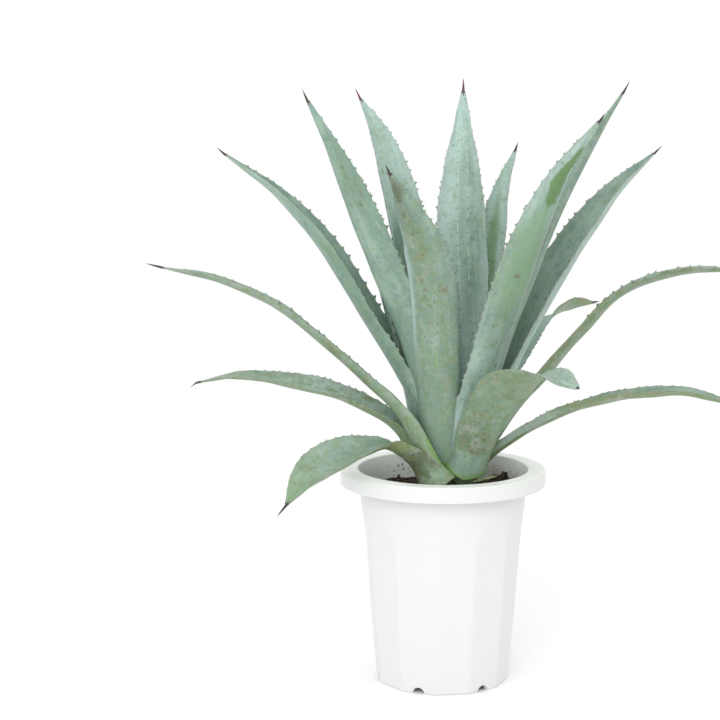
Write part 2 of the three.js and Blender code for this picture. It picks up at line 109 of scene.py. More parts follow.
# Blades: shares of the greatest width and thickness at even steps from root to tip
WIDTH_SHARES = [1, 0.88, 0.82, 0.86, 0.94, 1, 0.97, 0.85, 0.62, 0.33, 0.05]
FULL_WIDTH_SHARES = [1, 0.88, 0.82, 0.86, 0.94, 1, 0.98, 0.92, 0.8, 0.54, 0.05]
DROOPING_WIDTH_SHARES = [0.9, 0.7, 0.54, 0.52, 0.62, 0.8, 0.96, 1, 0.84, 0.48, 0.06]
NECKED_WIDTH_SHARES = [0.5, 0.42, 0.46, 0.62, 0.85, 0.98, 0.98, 0.92, 0.8, 0.54, 0.05]
CLASPING_WIDTH_SHARES = [1.12, 0.78, 0.82, 0.92, 1, 1.02, 0.88, 0.6, 0.5, 0.42, 0.1]
TWISTED_WIDTH_SHARES = [1, 0.94, 0.92, 0.97, 1, 0.88, 0.66, 0.52, 0.56, 0.44, 0.06]
THICKNESS_SHARES = [1, 0.8, 0.6, 0.46, 0.36, 0.3, 0.26, 0.22, 0.19, 0.16, 0.13]
ROOT_THICKNESS = 17
MARGIN_THICKNESS = 1.6 * MM
ROUNDING = 2.2
TEETH_FROM = 0.12
TEETH_TO = 0.955
BUMP_REACH = 2.6 * MM
TANGENT_STEP = 0.004

# Prints of the bud: distance between the teeth that pressed them, and how far those stood out
PRINT_PITCH = 15 * MM
PRINT_STEP = 1.5 * MM

# Corners of each crumb, chip and speck, and the seeds of the random draws
LUMP_CORNERS = 12
LEAF_SEED = 400
WAVES_SEED = 71
TONE_SEED = 72
SCATTER_SEED = 73
STEM_SEED = 81
SPECKS_SEED = 91

UPRIGHT_CUP = [50, 45, 50, 60]
FOLDED_CUP = [55, 60, 60, 60]

# Each leaf from the youngest to the oldest. turn is its direction in plan in degrees, line
# its midline from root to tip as (out, up) or (out, up, side) in millimetres. roll turns the
# blade about its midline and cup is half the angle of its channel, both in degrees at even
# steps from the root. spine is the spine's length where it is shorter and hook is how far its
# point bends down. teeth is the teeth's height and spacing as shares of the usual ones, and
# where they start. hem cuts the root to a V: where it starts, its slope and where its point is
# across the leaf. wax, fresh and aged say how much of the inner and of the outer face is
# under pale bloom, green or olive, rust how brown the margins are, dark how dark the teeth,
# and red how red the spine. Each mark is (kind, face, t, q, reach along, reach across,
# strength), with reaches as shares of the leaf's length and half width. A print is a line
# along the leaf, and has a slope in place of a reach across.
LEAVES = [
    dict(
        name="back_tall", turn=90, width=60, cup=[50, 40, 40, 50], spine=17, red=0.6, dark=0.4,
        line=[(8, 264, -24), (16, 345, -28), (24, 425, -26), (32, 505, -22), (42, 580, -20),
              (54, 650, -21), (66, 717, -22)],
        wax=(0.66, 0.5), fresh=(0.03, 0.05), aged=(0, 0), rust=0.1,
        # The bloom taken away at q -0.34 is painted shade down the middle of the channel.
        marks=[("wax", 0, 0.6, 0.75, 0.6, 0.5, 0.35), ("wax", 0, 0.62, -0.34, 0.34, 0.4, -0.4),
               ("print", 0, 0.62, 0.14, 0.3, 0.1, 1), ("print", 0, 0.6, -0.26, 0.3, -0.2, 1),
               ("wax", 0, 0.92, 0, 0.1, 1, 0.35), ("wax", 0, 0.3, 0, 0.16, 1, 0.2)],
    ),
    dict(
        name="front_tall", turn=260, width=60, cup=[50, 50, 58, 60], roll=[0, -14, -18], spine=14,
        line=[(14, 260, 0), (32, 330, 0), (48, 400, -4), (66, 470, -8), (90, 530, -12),
              (118, 582, -24), (150, 627, -36)],
        wax=(0.4, 0.14), fresh=(0.05, 0.05), aged=(0.1, 0.14), rust=0.3, teeth=(1, 0.8, 0.1),
        marks=[("wax", 1, 0.45, -0.8, 0.4, 0.4, 0.25), ("wax", 1, 0.15, 0.2, 0.25, 1, -0.2),
               ("smudge_and_shade", 1, 0.94, -0.1, 0.05, 1, 0.8), ("smudge_and_shade", 1, 0.85, -0.1, 0.1, 0.6, 0.5),
               ("aged", 1, 0.74, -0.05, 0.1, 0.5, 0.2),
               ("smudge_and_shade", 1, 0.7, 0.1, 0.04, 0.3, 0.15), ("green", 1, 0.042, 0.15, 0.012, 0.25, 0.9),
               ("fresh", 1, 0.341, 0.2, 0.022, 0.08, 1.2),
               ("scar", 1, 0.549, 0.62, 0.011, 0.13, 1), ("scar", 1, 0.551, 0.05, 0.008, 0.1, 0.9),
               ("scar", 1, 0.5, 0.4, 0.006, 0.06, 0.6), ("fresh", 1, 0.2, 0.2, 0.12, 0.5, 0.2),
               ("wax", 1, 0.56, -0.78, 0.17, 0.34, 0.9), ("frost", 1, 0.56, -0.78, 0.17, 0.34, 1),
               ("aged", 1, 0.56, -0.78, 0.17, 0.34, -1), ("fresh", 1, 0.66, 0.1, 0.12, 0.35, 0.3),
               ("speck", 1, 0.35, 0.1, 0.25, 0.6, 0.5), ("aged", 1, 0.4, 0.1, 0.3, 0.6, 0.12),
               ("smudge_and_shade", 1, 0.6, 0.2, 0.25, 0.7, 0.15)],
    ),
    dict(
        name="left_tall", turn=212, width=58, cup=UPRIGHT_CUP, roll=[0, 8, 8], spine=16,
        line=[(8, 262), (26, 352), (52, 432), (86, 502), (118, 570), (149, 638), (184, 707)],
        wax=(0.5, 0.28), fresh=(0.1, 0.12), aged=(0, 0.02), rust=0.15,
        marks=[("fresh", 1, 0.79, 0.3, 0.09, 0.35, 0.3),
               ("wax", 1, 0.7, 0.75, 0.22, 0.4, -0.4), ("frost", 1, 0.7, 0.75, 0.22, 0.4, -0.5),
               ("wax", 1, 0.5, -0.85, 0.45, 0.4, 0.4), ("print", 1, 0.66, 0.74, 0.12, -2.3, 0.35),
               ("wax", 1, 0.25, 0.2, 0.15, 1, -0.35), ("smudge_and_shade", 1, 0.76, 0.55, 0.1, 0.35, 0.25),
               ("smudge_and_shade", 1, 0.2, 0.1, 0.12, 1, 0.15)],
    ),
    dict(
        name="back_left_tall", turn=130, width=56, cup=UPRIGHT_CUP, red=1, dark=0.6,
        line=[(9, 262), (24, 345), (46, 432), (72, 528), (99, 600), (131, 663), (164, 707)],
        wax=(0.8, 0.6), fresh=(0.05, 0.05), aged=(0, 0), rust=0.1,
        marks=[("fresh", 0, 0.82, 0.1, 0.14, 0.35, 0.2), ("wax", 0, 0.78, 0.5, 0.3, 0.7, 0.35),
               ("wax", 0, 0.45, 0, 0.24, 1, -0.85),
               ("frost", 0, 0.45, 0.8, 0.24, 0.5, -0.6)],
    ),
    dict(
        name="right_tall", turn=18, width=50, cup=UPRIGHT_CUP, spine=17,
        line=[(12, 260), (49, 345), (79, 420), (108, 487), (137, 555), (178, 634), (227, 716)],
        wax=(0.28, 0.16), fresh=(0.1, 0.05), aged=(0.05, 0.1), rust=0.4,
        marks=[("wax", 1, 0.45, 0, 0.25, 1, 0.3)],
    ),
    dict(
        name="right_front_tall", turn=-35, width=59, cup=UPRIGHT_CUP, roll=[0, -10, -10], spine=13,
        line=[(12, 260), (42, 335), (71, 408), (99, 477), (129, 550), (165, 622), (211, 685)],
        wax=(0.5, 0.38), fresh=(0.1, 0.06), aged=(0.05, 0.02), rust=0.5, teeth=(1.1, 1, 0.12),
        marks=[("wax", 1, 0.93, 0, 0.06, 1, 0.2), ("moss", 1, 0.815, -0.16, 0.07, 0.42, 1.2),
               ("moss", 1, 0.892, 0, 0.034, 0.4, 0.9), ("wax", 1, 0.8, -0.75, 0.1, 0.3, 0.3),
               ("fresh", 1, 0.6, -0.2, 0.17, 0.7, 0.6), ("wax", 1, 0.58, -0.2, 0.18, 0.8, -0.3),
               # The brown-grey mark on the right flank at t 0.62 is partly a worn smudge and partly
               # painted shade.
               ("smudge_and_shade", 1, 0.62, 0.65, 0.12, 0.25, 0.3), ("scar", 1, 0.564, -0.28, 0.006, 0.16, 1.5),
               ("scar", 1, 0.865, -0.7, 0.005, 0.12, 0.8), ("smudge_and_shade", 1, 0.4, 0, 0.13, 0.9, 0.15)],
    ),
    dict(
        name="back_right_tall", turn=60, width=44, cup=UPRIGHT_CUP, spine=14,
        line=[(17, 260, -14), (44, 330, -14), (72, 395, -10), (94, 460, -8), (113, 525, -5),
              (135, 588, -4), (178, 643, 0)],
        wax=(0.8, 0.4), fresh=(0.12, 0.1), aged=(0.02, 0), rust=0.1,
        marks=[("wax", 0, 0.75, -0.8, 0.3, 0.45, 0.6), ("fresh", 0, 0.62, 0.1, 0.2, 0.4, 0.9)],
    ),
    dict(
        name="left_long", turn=174, width=57, cup=FOLDED_CUP, spine=14,
        line=[(9, 260), (22, 328), (50, 378), (98, 450), (150, 532), (206, 594), (267, 642)],
        wax=(0.2, 0.42), fresh=(0.15, 0.03), aged=(0, 0.03), rust=0.3,
        marks=[("fresh", 1, 0.6, 0.95, 0.3, 0.3, 0.25), ("wax", 1, 0.5, 0.85, 0.2, 0.5, -0.4)],
    ),
    dict(
        name="right_long", turn=32, width=60, cup=[50, 55, 60, 60], spine=17,
        line=[(16, 256), (58, 326), (98, 388), (146, 460), (204, 534), (258, 594), (313, 639)],
        wax=(0.32, 0.7), fresh=(0.08, 0.03), aged=(0.05, 0.02), rust=0.5,
        marks=[("wax", 0, 0.8, -0.3, 0.3, 0.25, 0.3)],
    ),
    dict(
        name="behind_left", turn=148, width=42, cup=UPRIGHT_CUP,
        line=[(14, 256), (40, 345), (66, 425), (92, 500), (114, 560), (134, 608), (152, 645)],
        wax=(0.45, 0.4), fresh=(0.15, 0.05), aged=(0.02, 0.02), rust=0.2,
    ),
    dict(
        name="behind_middle", turn=106, width=50, cup=UPRIGHT_CUP,
        line=[(16, 254), (46, 322), (82, 376), (118, 424), (152, 462), (184, 492), (213, 512)],
        wax=(0.45, 0.4), fresh=(0.15, 0.05), aged=(0.05, 0.1), rust=0.3,
    ),
    dict(
        name="left_arching", turn=190, width=46, shares=FULL_WIDTH_SHARES, thickness=14,
        cup=[55, 34, 32, 40],
        line=[(14, 260, 25), (48, 330, 15), (91, 371, 4), (140, 414), (196, 459), (262, 492),
              (339, 513)],
        wax=(0.6, 0.2), fresh=(0.05, 0.1), aged=(0.1, 0.4), rust=0.3, teeth=(0.9, 1.1, 0.3),
        marks=[("wax", 1, 0.6, 0.9, 0.5, 0.2, 0.3), ("green", 1, 0.06, 1, 0.04, 0.13, 1),
               ("fresh", 1, 0.1, 0.2, 0.14, 1, 0.4)],
    ),
    dict(
        name="right_arching", turn=-12, width=48, shares=FULL_WIDTH_SHARES, cup=[55, 32, 30, 40],
        line=[(20, 250), (74, 330), (120, 381), (168, 437), (216, 484), (280, 508), (347, 514)],
        wax=(0.4, 0.05), fresh=(0.05, 0.1), aged=(0.2, 0.5), rust=0.5, teeth=(1.1, 1.3, 0.52),
        marks=[("frost", 1, 0.55, -1, 0.4, 0.3, -0.6), ("fresh", 1, 0.62, -0.3, 0.1, 0.4, 0.3),
               ("smudge_and_shade", 1, 0.65, -0.9, 0.4, 0.3, 0.25)],
    ),
    dict(
        name="back_right_twisted", turn=45, width=34, shares=TWISTED_WIDTH_SHARES,
        cup=[50, 36, 22, 34], roll=[0, 0, 12, 16, -52, -60], spine=13,
        line=[(22, 250), (64, 312), (104, 358), (142, 400), (182, 430), (228, 444), (274, 445)],
        wax=(0.7, 0.1), fresh=(0.05, 0.1), aged=(0, 0.5), rust=0.3, teeth=(0.7, 0.6, 0.3),
    ),
    dict(
        name="left_low", turn=184, width=44, thickness=13, cup=[55, 40, 35, 40],
        roll=[0, -12, -13, -2], spine=12, hook=7,
        line=[(18, 248), (48, 307), (90, 337), (140, 357), (192, 368), (246, 376), (296, 370)],
        wax=(0.6, 0.1), fresh=(0.05, 0.08), aged=(0.3, 0.6), rust=0.3, teeth=(0.6, 0.7, 0.2),
        marks=[("wax", 0, 0.3, 0, 0.14, 1, 0.7), ("wax", 0, 0.53, 0, 0.16, 1, 0.4)],
    ),
    dict(
        name="right_low", turn=-16, width=43, shares=NECKED_WIDTH_SHARES, thickness=11,
        cup=[55, 46, 42, 42], roll=[-10, -8, 0, 3],
        line=[(22, 252, 22), (66, 291, 14), (118, 323, 6), (174, 348, 0), (236, 363), (296, 368),
              (354, 358)],
        wax=(0.45, 0.02), fresh=(0.1, 0.1), aged=(0.2, 0.8), rust=0.5, teeth=(0.6, 0.8, 0.3),
        marks=[("wax", 1, 0.27, -0.8, 0.2, 0.4, 0.4), ("frost", 1, 0.27, -0.8, 0.2, 0.4, 0.9),
               ("aged", 1, 0.27, -0.8, 0.2, 0.4, -0.7), ("smudge_and_shade", 1, 0.3, -0.35, 0.3, 0.08, 1),
               ("smudge_and_shade", 1, 0.58, -0.8, 0.2, 0.4, 0.25)],
    ),
    dict(
        name="behind_low_right", turn=78, width=50, cup=[55, 40, 38, 40],
        line=[(22, 246), (58, 290), (94, 320), (130, 341), (160, 352), (186, 352), (207, 346)],
        wax=(0.45, 0.3), fresh=(0.1, 0.05), aged=(0.1, 0.3), rust=0.4, teeth=(0.7, 1, 0.2),
    ),
    dict(
        name="behind_low_left", turn=96, width=46, cup=[55, 40, 38, 40],
        line=[(22, 244), (54, 281), (90, 305), (124, 320), (155, 324), (182, 319), (204, 307)],
        wax=(0.4, 0.25), fresh=(0.1, 0.05), aged=(0.15, 0.35), rust=0.4, teeth=(0.7, 1, 0.2),
    ),
    dict(
        name="front_right_short", turn=-55, width=63, shares=CLASPING_WIDTH_SHARES,
        cup=[56, 45, 40, 35], roll=[0, -18, -22, 0, 38], spine=5, ripe=0.2, old=True,
        line=[(38, 246, 6), (50, 292, 13), (76, 333, 15), (115, 370, 12), (164, 395, 6),
              (212, 403, 0), (256, 396, 0)],
        hem=(0.038, 0.046, -0.3),
        wax=(0.75, 0.22), fresh=(0.1, 0.12), aged=(0.2, 0.48), rust=0.15, teeth=(0.5, 1, 0.2),
        marks=[("wax", 1, 0.12, -0.2, 0.05, 0.8, 0.15), ("aged", 1, 0.11, -0.2, 0.06, 0.9, -0.4),
               ("smudge_and_shade", 1, 0.24, -0.4, 0.09, 0.6, 0.3), ("fresh", 1, 0.12, 0, 0.06, 1, 0.2),
               # The thin brown-grey band at t 0.18 is painted shade where the base narrows.
               ("smudge_and_shade", 1, 0.18, -0.1, 0.014, 0.5, 0.3), ("fresh", 1, 0.66, 0.3, 0.07, 0.25, 0.5),
               ("speck", 1, 0.3, -0.4, 0.2, 0.7, 0.7), ("green", 1, 0.15, 0.65, 0.07, 0.2, 0.7),
               ("print", 0, 0.9, 0, 0.1, 0, 0.6)],
    ),
    dict(
        name="front_left_drooping", turn=218, width=54, shares=DROOPING_WIDTH_SHARES,
        cup=[50, 45, 40, 45], roll=[12, 8, -16, -20, -14], old=True,
        line=[(29, 246, 29), (46, 279, 11), (81, 300), (122, 299), (162, 289), (200, 272),
              (229, 246)],
        wax=(0.5, 0.2), fresh=(0.2, 0.1), aged=(0.25, 0.5), rust=0.4, teeth=(0.5, 0.75, 0.25),
        # The brown-grey mark at t 0.17 is painted shadow under the drooping neck.
        marks=[("aged", 1, 0.32, 0.2, 0.14, 1.2, 1), ("smudge_and_shade", 1, 0.17, 0.2, 0.1, 1.2, 1),
               ("wax", 1, 0.03, 0.4, 0.07, 1.2, 0.6), ("fresh", 0, 0.95, 0, 0.14, 1, 0.5)],
    ),
]

# Spear of unopened leaves: height and radius in millimetres, and its lean to the left
SPEAR = [(268, 8), (300, 10.5), (345, 12), (395, 11), (440, 7.5), (474, 3), (488, 1.2)]
SPEAR_LEAN = -0.035


def display(red, green, blue):
    """Linear colour of three display values from 0 to 255."""
    share = np.array([red, green, blue]) / 255
    curve = np.where(share <= 0.04045, share / 12.92, ((share + 0.055) / 1.055) ** 2.4)
    return tuple(curve.tolist())


def colour_property(name, description, *values):
    """A colour that a user may change, with its default given as display values."""
    return FloatVectorProperty(
        name=name,
        description=description,
        subtype="COLOR",
        size=3,
        min=0,
        max=1,
        default=display(*values),
    )


def length_property(name, description, millimetres):
    """A length that a user may change."""
    return FloatProperty(
        name=name,
        description=description,
        unit="LENGTH",
        subtype="DISTANCE",
        min=0,
        precision=4,
        default=millimetres * MM,
    )


class PlantLeafSettings(PropertyGroup):
    plain: colour_property("Plain skin", "Grey-green of skin with little bloom", 113, 140, 128)
    bloom: colour_property("Bloom", "Pale mint wax on the skin", 182, 208, 200)
    frost: colour_property("Frost", "Pale lavender-grey wax, most of it at the margins", 184, 198, 198)
    fresh: colour_property("Fresh", "Green of skin with the wax rubbed off", 122, 156, 120)
    green: colour_property("Bare green", "Bright green of bare skin and young bases", 108, 146, 76)
    aged: colour_property("Olive", "Olive of old skin", 126, 142, 97)
    # Brown-grey of worn, dirty skin, also used as painted shade under leaf necks and at narrow bends.
    smudge_and_shade: colour_property("Smudge", "Brown-grey of worn and dirty skin", 92, 100, 80)
    rust: colour_property("Rust", "Brown of a dry margin", 130, 120, 100)
    horn: colour_property("Horn", "Dark brown of the spines", 34, 27, 28)
    tooth: colour_property("Teeth", "Dark grey-green of the teeth", 48, 58, 50)
    tooth_height: length_property("Tooth height", "Height of the biggest teeth", 3.2)
    tooth_spacing: length_property("Tooth spacing", "Distance between teeth on a margin", 13)
    margin_bump: length_property("Margin bump", "Height of the bump under each tooth", 1.5)
    dent_depth: length_property("Dents", "Depth of the low dents in the faces", 0.55)
    margin_wave: length_property("Margin wave", "How far the margins wave up and down", 0.9)
    spine_length: length_property("Spine length", "Length of the spine on each tip", 19)
    spine_radius: length_property("Spine radius", "Radius of the spine at its foot", 1.75)
    rows: IntProperty(name="Rows", description="Rows of points on a blade", default=230, min=40)


class PlantPotSettings(PropertyGroup):
    plastic: colour_property("Plastic", "White of the moulded pot", 219, 221, 219)
    # The rim colour is painted light: the rim's top and the inside get a lighter white than the rest
    # of the same plastic.
    rim: colour_property("Rim", "White of the rim's top and the inside", 250, 251, 249)
    grime: colour_property("Grime", "Dried dirt on the inside of the rim", 150, 138, 120)
    facet_edge: length_property("Facet edge", "Rounding of the edges between the flats", 0.7)


class PlantSoilSettings(PropertyGroup):
    dark: colour_property("Dark soil", "Moist soil and the hollows between crumbs", 34, 28, 23)
    light: colour_property("Light soil", "Dry crumbs and bark", 98, 80, 62)
    grit: colour_property("Grit", "Pale grains in the soil", 158, 152, 138)
    crumbs: IntProperty(name="Crumbs", description="Number of crumbs", default=2600, min=0)
    barks: IntProperty(name="Bark", description="Number of bark chips", default=110, min=0)
    specks: IntProperty(name="Specks", description="Specks on the pot's inner wall", default=150)


class PlantStageSettings(PropertyGroup):
    floor: colour_property("Floor", "Pale floor", 253, 253, 253)
    sky: FloatProperty(name="Sky", description="Strength of the even light", default=1.03, min=0)
    key: FloatProperty(name="Key", description="Front light", unit="POWER", default=25, min=0)
    fill: FloatProperty(name="Fill", description="Right light", unit="POWER", default=2, min=0)
    camera_height: length_property("Camera height", "Height of the camera", 726)
    camera_distance: length_property("Camera distance", "Distance to the pot's axis", 2300)


def smooth(values, t):
    """Catmull-Rom curve through equally spaced values, read at t from 0 to 1."""
    v = np.asarray(values, float)
    last = len(v) - 1
    x = np.clip(t, 0, 1) * last
    i = np.minimum(x.astype(int), last - 1)
    f = x - i
    padded = np.concatenate([[2 * v[0] - v[1]], v, [2 * v[-1] - v[-2]]])
    a, b, c, d = (padded[i + k] for k in range(4))
    square = (2 * a - 5 * b + 4 * c - d) * f**2
    cube = (3 * b - a - 3 * c + d) * f**3
    return 0.5 * (2 * b + (c - a) * f + square + cube)


def ease(x, low, high):
    """Rises smoothly from 0 at low to 1 at high, and falls where low is above high."""
    s = np.clip((x - low) / (high - low), 0, 1)
    return s * s * (3 - 2 * s)


def unit(vectors):
    """Vectors made one long."""
    return vectors / np.linalg.norm(vectors, axis=-1, keepdims=True)


def full_turn(count):
    """Evenly spaced angles round a circle."""
    return np.linspace(0, 2 * np.pi, count, endpoint=False)


def bent(first, corner, last, s):
    """Quadratic curve from first to last, drawn towards the corner between them."""
    return (1 - s) ** 2 * first + 2 * s * (1 - s) * corner + s**2 * last


def draw_waves(draw, count, along, across):
    """Random cosine waves: how often each one repeats along and across, and its phase."""
    return np.stack([
        draw.uniform(0.2, 1, count) * along,
        draw.uniform(-1, 1, count) * across,
        draw.uniform(0, 1, count),
    ])


def read_waves(waves, t, q):
    """Sum of the waves at t and q, mostly between -1 and 1."""
    turns = waves[0] * t[..., None] + waves[1] * q[..., None] + waves[2]
    return np.cos(2 * np.pi * turns).sum(-1) * np.sqrt(2 / waves.shape[1]) / 2


class Blade:
    """A leaf as a surface over t, from root to tip, q, from margin to margin, and depth.

    The midline is a smooth curve in the upright plane of the leaf's turn. Across it lies an
    arc of a circle, as wide as the leaf and turned by its cup angle at each margin. Depth is
    measured outwards from the inner face. Bumps on the margins, one Gaussian for each tooth,
    widen the arc, and slow waves lift the margins and dent the faces.
    """

    def __init__(self, leaf, number, settings):
        draw = np.random.default_rng(LEAF_SEED + number)
        self.leaf = leaf
        self.settings = settings
        self.number = number
        self.dents = draw_waves(draw, 9, 7, 1.1)
        self.lifts = draw_waves(draw, 4, 9, 0.5)
        self.tones = draw_waves(draw, 8, 9, 1.4)
        self.tints = draw_waves(draw, 6, 4, 0.8)
        middle = self.axes(np.linspace(0, 1, 300))[0]
        self.length = np.linalg.norm(np.diff(middle, axis=0), axis=1).sum()
        tallness, spread, start = leaf.get("teeth", (1, 1, TEETH_FROM))
        self.tooth_height = settings.tooth_height * tallness
        self.bump = settings.margin_bump * tallness
        self.teeth = {}
        for margin in (-1, 1):
            span = self.length * (TEETH_TO - start)
            count = round(span / (settings.tooth_spacing * spread))
            share = (np.arange(count) + 0.5 + draw.uniform(-0.4, 0.4, count)) / count
            size = 0.45 + 0.55 * np.sin(np.pi * np.minimum(1, share + 0.15))
            at = start + (TEETH_TO - start) * share
            self.teeth[margin] = (at, size * draw.uniform(0.7, 1.15, count))

    def axes(self, t):
        """Place on the midline, and the directions along, across and inward, at t."""
        line = np.array([(*point, 0)[:3] for point in self.leaf["line"]]) * MM
        turn = np.radians(self.leaf["turn"])
        out = np.array([np.cos(turn), np.sin(turn), 0])
        left = np.array([-np.sin(turn), np.cos(turn), 0])
        directions = np.stack([out, [0, 0, 1], left])

        def middle(u):
            return np.stack([smooth(line[:, k], u) for k in range(3)], -1) @ directions

        along = unit(middle(np.minimum(t + TANGENT_STEP, 1)) - middle(np.maximum(t - TANGENT_STEP, 0)))
        level = unit(left - (along @ left)[..., None] * along)
        raised = np.cross(along, level)
        roll = np.radians(smooth(self.leaf.get("roll", [0, 0, 0]), t))[..., None]
        across = level * np.cos(roll) + raised * np.sin(roll)
        inward = raised * np.cos(roll) - level * np.sin(roll)
        return middle(t), along, across, inward

    def section(self, t):
        """Half the width, the cup angle and the thickness at t."""
        half = self.leaf["width"] * MM / 2 * smooth(self.leaf.get("shares", WIDTH_SHARES), t)
        cup = np.radians(smooth(self.leaf["cup"], t))
        root = self.leaf.get("thickness", ROOT_THICKNESS) * MM
        return half, cup, root * smooth(THICKNESS_SHARES, t)

    def hem(self, q):
        """Where the leaf starts at q: a V round the hem's point."""
        start, slope, middle = self.leaf.get("hem", (0, 0, 0))
        return start + slope * np.abs(q - middle)

    def bumps(self, t, q):
        """Bumps of the margins under the teeth, 1 high for the biggest."""
        total = np.zeros(np.broadcast(t, q).shape)
        for margin, (at, size) in self.teeth.items():
            away = (t[..., None] - at) * self.length / BUMP_REACH
            total += (size * np.exp(-(away**2))).sum(-1) * np.clip(margin * q, 0, 1) ** 8
        return total

    def relief(self, t, q):
        """How far the surface is pushed inward at t and q."""
        steady = ease(t, 0.05, 0.2) * ease(t, 1, 0.9)
        dents = self.settings.dent_depth * read_waves(self.dents, t, q)
        lift = self.settings.margin_wave * read_waves(self.lifts, t, np.sign(q)) * np.abs(q) ** 3
        return steady * (dents + lift)

    def point(self, t, q, depth):
        """Points of the blade."""
        place, _, across, inward = self.axes(t)
        half, cup, _ = self.section(t)
        radius = half / np.sin(cup)
        reach = radius + depth - self.relief(t, q)
        angle = cup * q * (1 + self.bump * self.bumps(t, q) / half)
        sideways = (reach * np.sin(angle))[..., None] * across
        return place + sideways + (radius - reach * np.cos(angle))[..., None] * inward

    def thickness(self, t, q):
        """Thickness at q: most along the middle, thin at the margins."""
        full = self.section(t)[2]
        return MARGIN_THICKNESS + (full - MARGIN_THICKNESS) * (1 - np.abs(q) ** ROUNDING)


def blade_columns(half, middle=21, corner=3):
    """Where a blade's ring of points lies at each row, as q, rounding depth and face.

    The ring runs along the inner face from one margin to the other and back along the outer
    face. Within half a margin's thickness of each margin, q and depth follow a quarter circle.
    """
    rounding = MARGIN_THICKNESS / 2
    edge = (1 - rounding / half)[:, None]
    flat = edge * np.linspace(-1, 1, middle)
    turn = np.radians(90 * np.arange(1, corner + 1) / (corner + 1))
    near = edge + (1 - edge) * np.sin(turn)
    sunk = np.broadcast_to(rounding * (1 - np.cos(turn)), near.shape)
    ones = np.ones_like(edge)
    none = np.zeros_like(flat)
    face = np.concatenate([-near[:, ::-1], flat, near], 1)
    depth = np.concatenate([sunk[:, ::-1], none, sunk], 1)
    q = np.concatenate([-ones, face, ones, face[:, ::-1]], 1)
    sunk_all = np.concatenate([ones * rounding, depth, ones * rounding, depth[:, ::-1]], 1)
    count = face.shape[1]
    outer = np.concatenate([[0.5], np.zeros(count), [0.5], np.ones(count)])
    return q, sunk_all, np.broadcast_to(outer, q.shape)


def ring_quads(rows, columns):
    """Quads between closed rings of points that follow one another."""
    i, j = np.meshgrid(np.arange(rows - 1), np.arange(columns), indexing="ij")
    a = i * columns + j
    b = i * columns + (j + 1) % columns
    return np.stack([a, b, b + columns, a + columns], -1).reshape(-1, 4)


def flat_ends(rows, columns):
    """Faces that close a flattened tube's two ends, stitched from one side to the other."""
    a = np.arange(1, columns // 2 - 1)
    quads = np.stack([a, a + 1, columns - a - 1, columns - a], -1)
    half = columns // 2
    corners = np.array([[0, 1, columns - 1], [half - 1, half, half + 1]])
    last = (rows - 1) * columns
    ends = quads[:, ::-1].tolist() + corners[:, ::-1].tolist()
    return ends + (quads + last).tolist() + (corners + last).tolist()


def tube_faces(rows, columns):
    """Quads between closed rings, and one face across each end."""
    last = (rows - 1) * columns
    ends = [list(range(columns))[::-1], list(range(last, last + columns))]
    return ring_quads(rows, columns).tolist() + ends


def new_object(name, points, faces):
    """A mesh object at the origin from points and faces."""
    mesh = bpy.data.meshes.new(name)
    mesh.from_pydata(points.reshape(-1, 3), [], faces)
    item = bpy.data.objects.new(name, mesh)
    bpy.context.scene.collection.objects.link(item)
    return item


def new_piece(name, points, faces, material, sharp=None):
    """A smoothly shaded piece of the plant or its pot, which rides on the one body."""
    piece = new_object(name, points, faces)
    piece.data.shade_smooth()
    if sharp is not None:
        piece.data.set_sharp_from_angle(angle=np.radians(sharp))
    piece.data.materials.append(material)
    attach(piece, "root")
    return piece


def store(piece, name, values):
    """Keeps one number or one vector for each point, for the material to read."""
    vector = values.ndim > 1 and values.shape[-1] == 3
    kind, field = ("FLOAT_VECTOR", "vector") if vector else ("FLOAT", "value")
    layer = piece.data.attributes.new(name, kind, "POINT")
    layer.data.foreach_set(field, np.ascontiguousarray(values, np.float32).ravel())


def points_of(piece):
    """A piece's points as rows of x, y and z."""
    points = np.zeros(len(piece.data.vertices) * 3)
    piece.data.vertices.foreach_get("co", points)
    return points.reshape(-1, 3)


def face_share(pair, face):
    """Goes from the inner face's value to the outer face's."""
    return pair[0] + (pair[1] - pair[0]) * face


